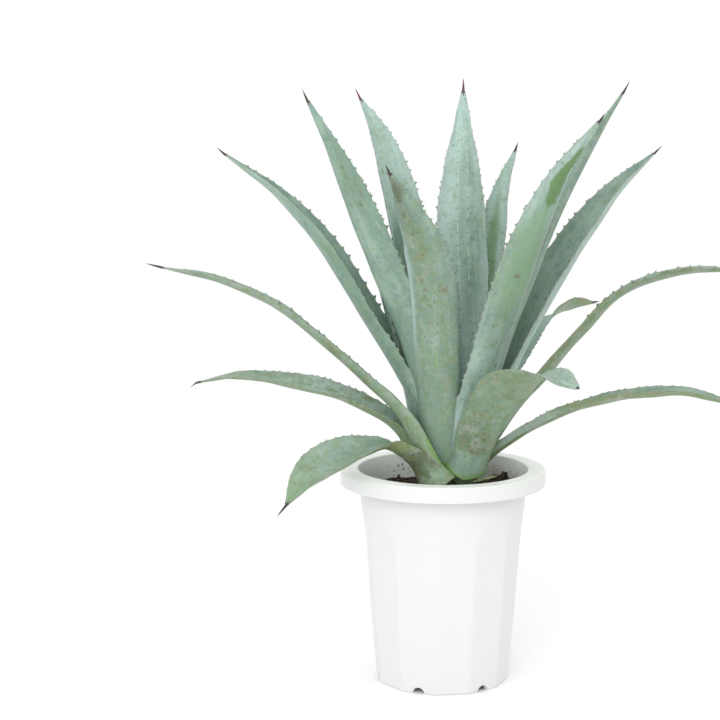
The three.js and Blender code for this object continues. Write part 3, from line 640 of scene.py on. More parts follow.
def blade_masks(blade, t, q, face):
    """How much of each tone lies at each point, and the prints of the bud.

    Each mask is the leaf's own level, slow waves, what every leaf has (green clasping margins
    and less bloom at the root, frost towards the margins) and strength * exp(-d**4) for each
    mark, where d is the distance from it in reaches. The prints are what neighbours' toothed
    margins pressed into the bud: the distances in metres to a line on the left and to one on
    the right, and their strength.
    """
    leaf = blade.leaf
    tone = read_waves(blade.tones, t, q + 3 * face)
    tint = read_waves(blade.tints, t, q + 3 * face)
    clasp = ease(t, 0.18, 0.05) * np.abs(q) ** 8
    masks = {
        "wax": face_share(leaf["wax"], face) + 0.14 * tone - 0.25 * ease(t, 0.16, 0.02),
        "frost": 0.9 * np.abs(q) ** 3 + 0.3 * tint,
        "fresh": face_share(leaf["fresh"], face) + 0.08 * tint,
        "green": 0.9 * clasp + 1.1 * np.sign(blade.hem(q)) * ease(t - blade.hem(q), 0.026, 0.004),
        "moss": np.zeros(t.shape),
        "aged": face_share(leaf["aged"], face) - 0.1 * tint,
        "speck": np.full(t.shape, 0.12),
        "smudge_and_shade": np.zeros(t.shape),
        "scar": np.zeros(t.shape),
    }
    half = blade.section(t)[0]
    prints = np.stack([np.ones(t.shape), np.ones(t.shape), np.zeros(t.shape)], -1)
    for kind, side, at, across, reach, spread, strength in leaf.get("marks", ()):
        here = np.abs(face - side) < 0.5
        if kind == "print":
            away = (q - across - spread * (t - at)) * half
            prints[..., int(across > 0)] = np.where(here, away, 1)
            fade = here * strength * ease(np.abs(t - at) / reach, 1, 0.7)
            prints[..., 2] = np.maximum(prints[..., 2], fade)
        else:
            away = ((t - at) / reach) ** 2 + ((q - across) / spread) ** 2
            masks[kind] += np.where(here, strength * np.exp(-(away**2)), 0)
    masks["prints"] = prints
    to_tip = (1 - t) * blade.length
    rim = ease(np.abs(q), 0.94, 1)
    masks["rust"] = rim * leaf["rust"]
    masks["horn"] = ease(to_tip, (3 + 7 * rim) * MM, 1 * MM) * leaf.get("ripe", 1)
    return masks


class Recipe:
    """A material's nodes, added one after another."""

    def __init__(self, name):
        self.material = bpy.data.materials.new(name)
        self.material.use_nodes = True
        self.tree = self.material.node_tree
        self.shader = self.tree.nodes["Principled BSDF"]

    def feed(self, socket, value):
        """Links a socket to a node's output, or sets it."""
        if isinstance(value, bpy.types.NodeSocket):
            self.tree.links.new(value, socket)
        else:
            socket.default_value = value

    def add(self, kind, inputs, output=0, **settings):
        """A node with its settings and inputs, which gives back one of its outputs."""
        node = self.tree.nodes.new(kind)
        for name, value in settings.items():
            setattr(node, name, value)
        for key, value in inputs.items():
            self.feed(node.inputs[key], value)
        return node.outputs[output]

    def place(self):
        """Object coordinates."""
        return self.add("ShaderNodeTexCoord", {}, "Object")

    def stored(self, name, output="Fac"):
        """A value kept in the mesh."""
        return self.add("ShaderNodeAttribute", {}, output, attribute_name=name)

    def scaled(self, vector, *scale):
        """A vector stretched along each axis."""
        return self.add("ShaderNodeMapping", {"Vector": vector, "Scale": scale})

    def noise(self, vector, scale, detail=3.0, roughness=0.55):
        """Noise between 0 and 1, mostly near a half."""
        inputs = {"Vector": vector, "Scale": scale, "Detail": detail, "Roughness": roughness}
        return self.add("ShaderNodeTexNoise", inputs)

    def maths(self, operation, *values, clamp=False):
        """One step of arithmetic."""
        inputs = dict(enumerate(values))
        return self.add("ShaderNodeMath", inputs, operation=operation, use_clamp=clamp)

    def uneven(self, value, noise, amount):
        """A value between 0 and 1 with noise added."""
        shift = self.maths("MULTIPLY_ADD", noise, amount, -amount / 2)
        return self.maths("ADD", value, shift, clamp=True)

    def between(self, value, low, high, first=0.0, last=1.0):
        """Goes smoothly from first to last as the value goes from low to high."""
        inputs = {"Value": value, "From Min": low, "From Max": high, "To Min": first, "To Max": last}
        return self.add("ShaderNodeMapRange", inputs, interpolation_type="SMOOTHSTEP")

    def mix(self, share, low, high, blend="MIX"):
        """Two colours mixed."""
        inputs = {0: share, 6: opaque(low), 7: opaque(high)}
        return self.add("ShaderNodeMix", inputs, 2, data_type="RGBA", blend_type=blend)

    def split(self, vector):
        """A vector's x, y and z."""
        node = self.tree.nodes.new("ShaderNodeSeparateXYZ")
        self.feed(node.inputs[0], vector)
        return node.outputs

    def times(self, product, *factors):
        """Values multiplied together."""
        for factor in factors:
            product = self.maths("MULTIPLY", product, factor)
        return product

    def mask(self, name, *noises):
        """A value kept in the mesh, made uneven by each (noise, amount) in turn."""
        value = self.stored(name)
        for noise, amount in noises:
            value = self.uneven(value, noise, amount)
        return value

    def layered(self, colour, *layers):
        """A colour with each (share, colour) laid over it in turn."""
        for share, over in layers:
            colour = self.mix(share, colour, over)
        return colour

    def bud_prints(self, grain):
        """Prints of toothed margins: how near the lines are, and the pits at their teeth.

        A line steps aside by PRINT_STEP * max(0, cos(2 pi y / PRINT_PITCH)) ** 4 at y along
        the leaf.
        """
        left, right, strength = self.split(self.stored("prints", "Vector"))
        turns = self.times(self.split(grain)[1], 2 * np.pi / PRINT_PITCH)
        wave = self.maths("MAXIMUM", self.maths("COSINE", turns), 0.0)
        step = self.times(self.maths("POWER", wave, 4.0), PRINT_STEP)
        away = self.maths(
            "MINIMUM",
            self.maths("ABSOLUTE", self.maths("ADD", left, step)),
            self.maths("ABSOLUTE", self.maths("SUBTRACT", right, step)),
        )
        near = self.times(self.between(away, 0.3 * MM, 1.0 * MM, 1.0, 0.0), strength)
        close = self.between(away, 0.7 * MM, 1.3 * MM, 1.0, 0.0)
        return near, self.times(close, self.between(wave, 0.9, 0.97), strength)

    def bump(self, height, depth, normal=None):
        """A normal raised by height, which is depth metres high at 1."""
        inputs = {"Height": height, "Distance": depth, "Strength": 1.0}
        if normal is not None:
            inputs["Normal"] = normal
        return self.add("ShaderNodeBump", inputs)

    def finish(self, **inputs):
        """Feeds the shader, with underscores in the names of its inputs for spaces."""
        for name, value in inputs.items():
            self.feed(self.shader.inputs[name.replace("_", " ")], value)
        return self.material


def opaque(colour):
    """A colour with its fourth number, or a node's output as it is."""
    if isinstance(colour, bpy.types.NodeSocket):
        return colour
    return (*colour, 1.0)


def leaf_skin(name, settings):
    """Waxy skin: grey-green under pale bloom, with green, olive, worn and scarred places, and
    brown-grey painted shade under leaf necks and at narrow bends.

    Noise stretched along the leaf streaks the bloom, noises of 10 and 3 mm mottle and speckle
    it, and one stretched across the leaf lines it. The masks come from the mesh.
    """
    skin = Recipe(name)
    place = skin.place()
    grain = skin.stored("grain", "Vector")
    streaks = skin.noise(skin.scaled(grain, 260, 9, 1), 1.0, 4.0, 0.6)
    fibres = skin.noise(skin.scaled(grain, 1500, 45, 1), 1.0, 2.0)
    lines = skin.noise(skin.scaled(grain, 30, 520, 1), 1.0, 2.0)
    clouds = skin.noise(skin.scaled(grain, 34, 16, 1), 1.0, 4.0, 0.6)
    mottle = skin.noise(place, 100, 4.0, 0.65)
    dapple = skin.noise(place, 300, 3.0, 0.6)
    wax = skin.mask("wax", (streaks, 0.7), (clouds, 0.9), (mottle, 1.4), (dapple, 0.8))
    frost = skin.mask("frost", (mottle, 1.4))
    fresh = skin.mask("fresh", (clouds, 0.8), (mottle, 1.0))
    aged = skin.mask("aged", (dapple, 1.0), (mottle, 1.8))
    # Brown-grey smudges: worn, dirty skin, and painted shade where the marks put it under necks and
    # bends.
    smudge_and_shade = skin.mask("smudge_and_shade", (mottle, 2.2), (dapple, 1.2))
    smudge_and_shade = skin.times(smudge_and_shade, skin.between(skin.stored("smudge_and_shade"), 0.02, 0.2))
    old = skin.maths("MULTIPLY_ADD", skin.stored("aged"), 1.4, 0.12, clamp=True)
    patches = []
    for scale, tone in ((62, (160, 164, 156)), (84, (130, 128, 92)), (106, (98, 132, 82))):
        patch = skin.between(skin.noise(place, scale, 4.0, 0.6), 0.5, 0.64, 0.0, 0.65)
        patches.append((skin.times(patch, old), display(*tone)))
    specks = skin.times(skin.mask("speck", (mottle, 0.6)), skin.between(dapple, 0.56, 0.66))
    green = skin.between(skin.mask("green", (mottle, 1.2)), 0.25, 1.0, 0.0, 0.8)
    moss = skin.between(skin.mask("moss", (mottle, 2.4)), 0.25, 0.8, 0.0, 0.9)
    near, pits = skin.bud_prints(grain)
    printed = skin.times(near, skin.between(mottle, 0.4, 0.62, 0.1, 0.7))
    scar = skin.between(skin.mask("scar", (dapple, 3.0)), 0.45, 0.9, 0.0, 0.75)
    rust = skin.mask("rust", (streaks, 0.6))
    rust = skin.times(rust, skin.between(skin.stored("rust"), 0.05, 0.4, 0.0, 0.7))
    colour = skin.layered(
        settings.plain,
        (wax, skin.mix(frost, settings.bloom, settings.frost)),
        (fresh, settings.fresh),
        (aged, settings.aged),
        (smudge_and_shade, settings.smudge_and_shade),
        *patches,
        (specks, display(82, 104, 78)),
        (green, settings.green),
        (moss, skin.mix(dapple, display(62, 98, 48), display(110, 146, 88))),
        (printed, display(186, 212, 206)),
        (skin.times(pits, 0.6), display(84, 112, 108)),
        (skin.between(lines, 0.52, 0.66, 0.0, 0.1), settings.fresh),
        (scar, display(118, 106, 88)),
        (rust, settings.rust),
        (skin.between(skin.mask("horn", (mottle, 0.4)), 0.25, 0.8), display(62, 50, 46)),
    )
    height = skin.maths("ADD", fibres, skin.times(mottle, 1.2))
    height = skin.maths("SUBTRACT", height, skin.times(near, 0.8))
    return skin.finish(
        Base_Color=colour,
        Roughness=skin.between(wax, 0.0, 1.0, 0.46, 0.62),
        Specular_IOR_Level=0.42,
        Normal=skin.bump(height, 0.22 * MM),
    )


def horn_skin(settings):
    """Horn: spines brown to nearly black and grey at the point, teeth dark grey-green."""
    horn = Recipe("horn")
    place = horn.place()
    mottle = horn.noise(place, 700, 3.0)
    height = horn.mask("height", (mottle, 0.4))
    colour = horn.mix(horn.stored("red"), settings.horn, display(112, 58, 54))
    colour = horn.mix(horn.between(height, 0.3, 0.55), display(74, 66, 54), colour)
    colour = horn.mix(horn.between(height, 0.75, 1.05, 0.0, 0.6), colour, display(120, 106, 98))
    tooth = horn.mix(horn.between(height, 0.1, 0.5), display(116, 134, 112), settings.tooth)
    colour = horn.mix(horn.stored("tooth"), colour, tooth)
    normal = horn.bump(horn.noise(horn.scaled(place, 1, 1, 0.3), 1600, 2.0), 0.08 * MM)
    return horn.finish(Base_Color=colour, Roughness=0.42, Normal=normal)


def plastic_skin(settings):
    """White moulded plastic, faintly uneven, with dried dirt on the inside, most at the right. The
    rim's top and the inside are painted a lighter white as painted light.
    """
    plastic = Recipe("white_plastic")
    place = plastic.place()
    x, _, z = plastic.split(place)
    inside = plastic.between(plastic.stored("inside"), 0.3, 0.9)
    dirty = plastic.times(
        inside,
        plastic.between(z, POT_HEIGHT - 1 * MM, SOIL_TOP + 4 * MM),
        plastic.between(x, -0.3 * MOUTH_RADIUS, 0.7 * MOUTH_RADIUS, 0.25, 1.0),
        plastic.between(plastic.noise(place, 45, 5.0, 0.65), 0.35, 0.6, 0.3, 1.0),
        plastic.between(plastic.noise(place, 420, 4.0, 0.7), 0.35, 0.6, 0.3, 0.8),
    )
    # Painted light: the rim's top and the inside take the lighter rim white.
    top = plastic.between(z, POT_HEIGHT - 1.5 * MM, POT_HEIGHT - 0.3 * MM)
    white_with_painted_light = plastic.mix(plastic.maths("MAXIMUM", top, inside), settings.plastic, settings.rim)
    scuffs = plastic.between(plastic.noise(plastic.scaled(place, 1, 1, 5), 160, 3.0), 0.6, 0.75)
    fine = plastic.bump(plastic.noise(place, 1400, 2.0), 0.015 * MM)
    return plastic.finish(
        Base_Color=plastic.mix(dirty, white_with_painted_light, settings.grime),
        Roughness=plastic.maths("MULTIPLY_ADD", scuffs, 0.12, 0.34),
        Specular_IOR_Level=0.45,
        Normal=plastic.bump(plastic.noise(place, 18, 2.0), 0.5 * MM, fine),
    )


def soil_skin(settings):
    """Moist soil: each grain's own tone, mottled, from nearly black to bark brown and grit."""
    soil = Recipe("potting_soil")
    place = soil.place()
    tone = soil.mask("tone", (soil.noise(place, 260, 4.0, 0.7), 0.5))
    colour = soil.layered(
        settings.dark,
        (soil.between(tone, 0.15, 0.75), settings.light),
        (soil.between(tone, 0.85, 0.95), settings.grit),
    )
    normal = soil.bump(soil.noise(place, 900, 4.0, 0.7), 0.5 * MM)
    return soil.finish(Base_Color=colour, Roughness=0.88, Specular_IOR_Level=0.25, Normal=normal)


def stem_skin():
    """Fibrous stub, grey-green and brown, ringed by leaf scars."""
    stem = Recipe("stem_skin")
    place = stem.place()
    fibres = stem.noise(stem.scaled(place, 1, 1, 0.12), 420, 4.0)
    rings = stem.noise(stem.scaled(place, 0.1, 0.1, 1), 190, 3.0)
    colour = stem.layered(
        display(88, 96, 72),
        (stem.between(fibres, 0.35, 0.65), display(132, 146, 118)),
        (stem.between(rings, 0.5, 0.62, 0.0, 0.5), display(74, 70, 52)),
    )
    normal = stem.bump(fibres, 0.5 * MM)
    return stem.finish(Base_Color=colour, Roughness=0.8, Normal=normal)


def floor_skin(settings):
    """Plain pale floor."""
    floor = Recipe("floor")
    return floor.finish(Base_Color=opaque(settings.floor), Roughness=0.9, Specular_IOR_Level=0.1)


def rounded(corners, steps=5):
    """Profile of radius and height whose corners (radius, height, rounding) become arcs.

    Each arc is the quadratic curve that leaves one side at the rounding's distance from the
    corner and meets the other side at the same distance.
    """
    corners = np.array(corners, float)
    place = corners[:, :2]
    reach = corners[1:-1, 2:3]
    before = place[1:-1] + reach * unit(place[:-2] - place[1:-1])
    after = place[1:-1] + reach * unit(place[2:] - place[1:-1])
    s = np.linspace(0, 1, steps)[None, :, None]
    arcs = bent(before[:, None], place[1:-1, None], after[:, None], s)
    return np.concatenate([place[:1], arcs.reshape(-1, 2), place[-1:]])


def divided(profile, longest):
    """Profile with points added so that no step is longer than longest."""
    steps = np.linalg.norm(np.diff(profile, axis=0), axis=1)
    counts = np.maximum(1, np.ceil(steps / longest).astype(int))
    start = np.repeat(np.arange(len(steps)), counts)
    share = np.concatenate([np.arange(n) / n for n in counts])[:, None]
    points = profile[start] * (1 - share) + profile[start + 1] * share
    return np.concatenate([points, profile[-1:]])


def pole_faces(rows, columns, first_pole, last_pole):
    """Triangles from the first and last rings to the two points on the axis."""
    j = np.arange(columns)
    after = (j + 1) % columns
    last = (rows - 1) * columns
    first_fan = np.stack([np.full(columns, first_pole), after, j], -1)
    last_fan = np.stack([np.full(columns, last_pole), last + j, last + after], -1)
    return first_fan.tolist() + last_fan.tolist()


def turned_points(radius, height, angles):
    """Points at each radius and height, both one value for a row and column, round the axis."""
    level = np.broadcast_to(height, np.broadcast(radius, height, angles).shape)
    return np.stack([radius * np.cos(angles), radius * np.sin(angles), level], -1)


def turned_piece(name, profile, angles, material, shape):
    """A closed surface of revolution from a profile whose ends lie on the axis.

    shape takes the radius and height at every row and angle, and gives them back reshaped.
    """
    radius = np.repeat(profile[1:-1, :1], len(angles), 1)
    height = np.repeat(profile[1:-1, 1:], len(angles), 1)
    radius, height = shape(radius, height, angles[None, :])
    rings = turned_points(radius, height, angles[None, :]).reshape(-1, 3)
    poles = np.array([[0, 0, profile[0, 1]], [0, 0, profile[-1, 1]]])
    rows, columns = radius.shape
    faces = ring_quads(rows, columns).tolist()
    faces += pole_faces(rows, columns, rows * columns, rows * columns + 1)
    return new_piece(name, np.concatenate([rings, poles]), faces, material)


def pot_angles():
    """Columns round the pot: close together over each notch, then evenly to the flat's edge."""
    half = np.pi / FACETS
    notch = NOTCH_RADIUS / FOOT_INNER_RADIUS
    inner = notch * np.sin(np.radians(np.linspace(-90, 90, 13)))
    outer = np.linspace(notch, half, 6)[1:-1]
    one = np.concatenate([-outer[::-1], inner, outer, [half]])
    return (FACET_AT + 2 * half * np.arange(FACETS)[:, None] + one).ravel()


def with_roundings(corners, roundings):
    """Corners of a profile with the rounding of each, which is given in millimetres."""
    return [(*corner, rounding * MM) for corner, rounding in zip(corners, roundings)]


def pot_profile():
    """Section of the pot: inside, over the rim, down the outside and under the base."""
    skirt_foot = POT_HEIGHT - RIM_SKIRT
    rim_under = POT_HEIGHT - WALL
    rim_inner = RIM_RADIUS - WALL
    neck_outer = MOUTH_RADIUS + 1.8 * MM
    rim = [(RIM_RADIUS, POT_HEIGHT), (RIM_RADIUS, skirt_foot), (rim_inner, skirt_foot),
           (rim_inner, rim_under), (neck_outer, rim_under), (neck_outer, skirt_foot)]
    foot = [(FOOT_INNER_RADIUS, 0), (FOOT_INNER_RADIUS, BASE_UNDERSIDE)]
    corners = [
        (0, BASE_TOP, 0),
        *with_roundings(INNER_WALL, (3, 6, 4, 1.5)),
        *with_roundings(rim, (3.2, 1, 0.8, 2, 2, 1)),
        *with_roundings(OUTER_WALL, (1, 9, 9, 9, 9, 0.8, 0.5)),
        *with_roundings(foot, (0.8, 1)),
        (0, BASE_UNDERSIDE, 0),
    ]
    return divided(rounded(corners), 7 * MM)


def shape_pot(radius, height, angles, edge):
    """Cuts the flats into the outer wall and the notches into the foot.

    A flat is a plane, so its radius is its distance over the cosine of the angle from its
    middle. Its depth is what brings it to the wall at the angle of an arch: a whole facet
    below, then half an ellipse that closes at the top. A rounded minimum joins flat and wall.
    A notch lifts the foot by half a circle across it.
    """
    step = 2 * np.pi / FACETS
    off = (angles - FACET_AT + step / 2) % step - step / 2
    rise = np.clip((height - ARCH_FOOT) / (ARCH_TOP - ARCH_FOOT), 0, 1)
    arch = step / 2 * np.sqrt(1 - rise**2)
    below_rim = np.arange(len(radius))[:, None] > np.argmin(np.abs(radius[:, 0] - RIM_RADIUS))
    wall = np.interp(height[:, :1], OUTER_WALL[::-1, 1], OUTER_WALL[::-1, 0])
    outer = below_rim & (np.abs(radius - wall) < 1.5 * MM) & (height < ARCH_TOP)
    dip = np.where(outer, radius * (1 - np.cos(arch)), 0)
    flat = (radius - dip) / np.cos(off)
    near = np.maximum(np.minimum(edge, dip * 0.3), 1e-9)
    overlap = np.maximum(near - np.abs(radius - flat), 0)
    cut = np.minimum(radius, flat) - overlap**2 / (4 * near)
    radius = np.where(outer, cut, radius)
    notched = np.round((angles - FACET_AT) / step) % 2 == 0
    across = FOOT_INNER_RADIUS * np.sin(off)
    lift = np.where(notched, np.sqrt(np.maximum(NOTCH_RADIUS**2 - across**2, 0)), 0)
    foot = below_rim & (height < BASE_UNDERSIDE) & (radius > FOOT_INNER_RADIUS - 2 * MM)
    height = np.where(foot, height + lift * (1 - height / BASE_UNDERSIDE), height)
    return radius, height


def cut_drain_holes(pot):
    """Cuts the drain holes, six upright cylinders, through the base."""
    angles = full_turn(24)
    places = FACET_AT + 2 * np.pi * np.arange(DRAIN_HOLES) / DRAIN_HOLES
    profile = np.array([[0, 0], [DRAIN_RADIUS, 0], [DRAIN_RADIUS, 2 * BASE_TOP], [0, 2 * BASE_TOP]])
    hole = turned_points(profile[1:-1, :1], profile[1:-1, 1:], angles[None, :]).reshape(-1, 3)
    hole = np.concatenate([hole, [[0, 0, 0], [0, 0, 2 * BASE_TOP]]])
    middle = DRAIN_CIRCLE * np.stack([np.cos(places), np.sin(places), 0 * places], -1)
    points = (middle[:, None] + hole).reshape(-1, 3)
    count = len(angles)
    quads = ring_quads(2, count)
    fans = np.array(pole_faces(2, count, 2 * count, 2 * count + 1))
    shift = len(hole) * np.arange(DRAIN_HOLES)[:, None, None]
    faces = (quads + shift).reshape(-1, 4).tolist() + (fans + shift).reshape(-1, 3).tolist()
    cutter = new_object("drain_cutter", points, faces)
    modifier = pot.modifiers.new("Drain holes", "BOOLEAN")
    modifier.operation = "DIFFERENCE"
    modifier.solver = "EXACT"
    modifier.object = cutter
    evaluated = pot.evaluated_get(bpy.context.evaluated_depsgraph_get())
    spent = [cutter.data, pot.data]
    pot.data = bpy.data.meshes.new_from_object(evaluated)
    pot.data.name = "pot_shell"
    pot.modifiers.remove(modifier)
    bpy.data.objects.remove(cutter)
    for mesh in spent:
        bpy.data.meshes.remove(mesh)


def blades():
    """All leaves as blades, numbered as in the table."""
    settings = bpy.context.scene.plant_leaves
    return [Blade(leaf, number, settings) for number, leaf in enumerate(LEAVES)]


def make_blade(blade, material):
    """One leaf's skin: rings of points from root to tip, closed across both ends."""
    rows = blade.settings.rows
    steps = np.linspace(0, 1, rows)
    half = blade.section(steps)[0]
    q, sunk, face = blade_columns(half)
    t = steps[:, None] + (1 - steps[:, None]) ** 3 * blade.hem(q)
    depth = np.where(face > 0.75, blade.thickness(t, q) - sunk, sunk)
    points = blade.point(t, q, depth)
    faces = ring_quads(*t.shape).tolist() + flat_ends(*t.shape)
    leaf = blade.leaf
    piece = new_piece("skin_" + leaf["name"], points, faces, material)
    for name, values in blade_masks(blade, t, q, face).items():
        store(piece, name, values)
    own = np.full(t.shape, blade.number + 0.37)
    store(piece, "grain", np.stack([q * half[:, None], t * blade.length, own + 9 * face], -1))
    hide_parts("leaf_" + leaf["name"])


def cone_faces(rows, columns):
    """Faces of rings that end in one point, which is last, with the first ring closed flat."""
    j = np.arange(columns)
    last = (rows - 1) * columns
    point = np.stack([last + j, last + (j + 1) % columns, np.full(columns, rows * columns)], -1)
    return ring_quads(rows, columns).tolist() + point.tolist() + [j[::-1].tolist()]


def tooth_shape(sides=6):
    """A tooth 1 high: rings along x, out along y, thin along z, and its point.

    Its half length and half thickness shrink from a broad foot that is sunk in the margin.
    """
    rise = np.array([-0.4, 0.0, 0.3, 0.62, 0.88])
    length = np.array([0.85, 0.62, 0.36, 0.19, 0.07])
    thick = np.array([0.22, 0.2, 0.15, 0.1, 0.05])
    angle = full_turn(sides)
    x = length[:, None] * np.cos(angle)
    z = thick[:, None] * np.sin(angle)
    y = np.repeat(rise[:, None], sides, 1)
    rings = np.stack([x, y, z], -1).reshape(-1, 3)
    return np.concatenate([rings, [[0, 1, 0]]]), cone_faces(len(rise), sides)


def tooth_points(blade, draw):
    """All teeth of a leaf: the tooth's shape carried to each place on the margins.

    Its axes there are the margin's direction, the way out of the blade, and their cross
    product. Its point leans along the margin by the square of the height.
    """
    shape, faces = tooth_shape()
    margin = MARGIN_THICKNESS / 2
    made = []
    for side, (at, size) in blade.teeth.items():
        q = np.full(len(at), float(side))
        depth = np.full(len(at), margin)
        foot = blade.point(at, q, depth)
        step = 0.5 * TANGENT_STEP
        along = unit(blade.point(at + step, q, depth) - blade.point(at - step, q, depth))
        outward = foot - blade.point(at, 0.93 * q, depth)
        outward = unit(outward - (outward * along).sum(-1, keepdims=True) * along)
        facing = np.cross(along, outward)
        lean = draw.uniform(-0.3, 0.9, len(at))[:, None]
        x = shape[:, 0] + lean * np.maximum(shape[:, 1], 0) ** 2
        y, z = (np.broadcast_to(shape[:, k], x.shape) for k in (1, 2))
        local = np.stack([x, y, z], -1)
        axes = np.stack([along, outward, facing], 1)
        height = blade.tooth_height * size
        made.append(foot[:, None] + height[:, None, None] * (local @ axes))
    points = np.concatenate(made)
    risen = np.clip(np.tile(shape[:, 1], len(points)), 0, 1)
    return points, faces, risen


def spine_points(blade, draw, sides=10):
    """A leaf's spine: rings along the tip's direction, from inside the blade to a point.

    The radius falls with a slight belly to the point, and the axis bends by the square of
    the way along it. The foot is flatter than round.
    """
    settings = blade.settings
    end = np.array([1.0])
    place, along, across, inward = (part[0] for part in blade.axes(end))
    start = place - inward * blade.section(end)[2][0] / 2
    length = blade.leaf["spine"] * MM if "spine" in blade.leaf else settings.spine_length
    s = np.array([-0.3, -0.15, 0, 0.12, 0.26, 0.42, 0.58, 0.74, 0.87, 0.96])
    radius = np.where(s < 0, 1 + 0.7 * s, (1 - np.maximum(s, 0)) ** 0.85) * settings.spine_radius
    bend = draw.uniform(-0.8, 0.8, 2) * MM
    bend[1] -= blade.leaf.get("hook", 0) * MM
    middle = start + s[:, None] * length * along
    middle = middle + (np.maximum(s, 0) ** 2)[:, None] * (bend[0] * across + bend[1] * inward)
    angle = full_turn(sides)
    rim = np.cos(angle)[:, None] * across * 1.08 + np.sin(angle)[:, None] * inward * 0.9
    rings = middle[:, None] + radius[:, None, None] * rim
    point = start + length * along + bend[0] * across + bend[1] * inward
    points = np.concatenate([rings.reshape(-1, 3), point[None]])
    risen = np.append(np.repeat(0.35 + 0.6 * np.maximum(s, 0), sides), 1.0)
    return points, cone_faces(len(s), sides), risen


def make_horn(blade, material):
    """The teeth and the spine of one leaf, in one piece."""
    draw = np.random.default_rng(2 * LEAF_SEED + blade.number)
    teeth, tooth_faces, tooth_height = tooth_points(blade, draw)
    spine, spine_faces, spine_height = spine_points(blade, draw)
    count, corners = teeth.shape[:2]
    faces = [[corner + corners * k for corner in face] for k in range(count) for face in tooth_faces]
    faces += [[corner + corners * count for corner in face] for face in spine_faces]
    points = np.concatenate([teeth.reshape(-1, 3), spine])
    tooth_height = tooth_height * blade.leaf.get("dark", 1)
    name = blade.leaf["name"]
    piece = new_piece("horn_" + name, points, faces, material)
    spine_height = spine_height * blade.leaf.get("ripe", 1)
    store(piece, "height", np.concatenate([tooth_height, spine_height]))
    store(piece, "red", np.full(len(points), blade.leaf.get("red", 0.1)))
    store(piece, "tooth", (np.arange(len(points)) < count * corners).astype(float))
    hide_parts("spine_" + name)


def rock_shape():
    """An icosahedron 1 in radius: its twelve corners and twenty faces."""
    golden = (1 + 5**0.5) / 2
    a = np.array([-1.0, 1, -1, 1])
    b = np.array([1.0, 1, -1, -1]) * golden
    zero = np.zeros(4)
    corners = np.concatenate([
        np.stack([a, b, zero], -1), np.stack([zero, a, b], -1), np.stack([b, zero, a], -1),
    ])
    faces = [
        (0, 11, 5), (0, 5, 1), (0, 1, 7), (0, 7, 10), (0, 10, 11), (1, 5, 9), (5, 11, 4),
        (11, 10, 2), (10, 7, 6), (7, 1, 8), (3, 9, 4), (3, 4, 2), (3, 2, 6), (3, 6, 8),
        (3, 8, 9), (4, 9, 5), (2, 4, 11), (6, 2, 10), (8, 6, 7), (9, 8, 1),
    ]
    return unit(corners), faces


def random_turns(draw, count):
    """Random rotation matrices, from random quaternions."""
    w, x, y, z = unit(draw.normal(size=(count, 4))).T
    return np.stack([
        np.stack([1 - 2 * (y * y + z * z), 2 * (x * y - z * w), 2 * (x * z + y * w)], -1),
        np.stack([2 * (x * y + z * w), 1 - 2 * (x * x + z * z), 2 * (y * z - x * w)], -1),
        np.stack([2 * (x * z - y * w), 2 * (y * z + x * w), 1 - 2 * (x * x + y * y)], -1),
    ], 1)


def lumps(draw, middles, sizes, flatness):
    """Uneven lumps: icosahedra with each corner pushed in or out, stretched and turned."""
    corners, faces = rock_shape()
    count = len(middles)
    uneven = corners * draw.uniform(0.72, 1.2, (count, len(corners), 1))
    stretch = draw.uniform(1 - flatness, 1 + 0.5 * flatness, (count, 1, 3))
    turned = (uneven * stretch) @ random_turns(draw, count)
    points = middles[:, None] + turned * sizes[:, None, None]
    shift = len(corners) * np.arange(count)[:, None, None]
    return points.reshape(-1, 3), (np.array(faces) + shift).reshape(-1, 3).tolist()


def soil_waves():
    """The random waves of the soil's surface, coarse and fine."""
    draw = np.random.default_rng(WAVES_SEED)
    return draw_waves(draw, 14, 28, 28), draw_waves(draw, 30, 130, 130)


def soil_height(x, y):
    """Height of the soil: a low mound round the stem, heaps, and coarse and fine waves."""
    radius = np.hypot(x, y) / SOIL_EDGE
    mound = np.interp(radius, [0, 0.4, 0.7, 1], [SOIL_MOUND, SOIL_MOUND, 0.5 * SOIL_MOUND, 0])
    coarse, fine = soil_waves()
    rough = 1.3 * MM * read_waves(coarse, x, y) + 0.6 * MM * read_waves(fine, x, y)
    surface = SOIL_TOP + mound + rough
    for heap_x, heap_y, reach, high in SOIL_HEAPS:
        surface = surface + high * np.exp(-((x - heap_x) ** 2 + (y - heap_y) ** 2) / reach**2)
    return surface


def inner_radius(height):
    """Radius of the pot's inner wall."""
    return np.interp(height, INNER_WALL[:, 1], INNER_WALL[:, 0])


class PLANT_OT_pot(Operator):
    """Make the pot: a faceted wall with arched flats, a broad rim and a notched foot"""

    bl_idname = "plant.pot"
    bl_label = "Pot"

    def execute(self, context):
        settings = context.scene.plant_pot
        material = plastic_skin(settings)

        def shape(radius, height, angles):
            return shape_pot(radius, height, angles, settings.facet_edge)

        pot = turned_piece("pot_shell", pot_profile(), pot_angles(), material, shape)
        cut_drain_holes(pot)
        pot.data.set_sharp_from_angle(angle=np.radians(50))
        x, y, z = points_of(pot).T
        # Marks the inner wall, which the material paints lighter as painted light and dirties towards
        # the soil.
        inside = (np.hypot(x, y) < inner_radius(z) + 0.5 * MM) & (z > BASE_TOP - 1 * MM)
        store(pot, "inside", inside.astype(float))
        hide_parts("pot")
        return {"FINISHED"}


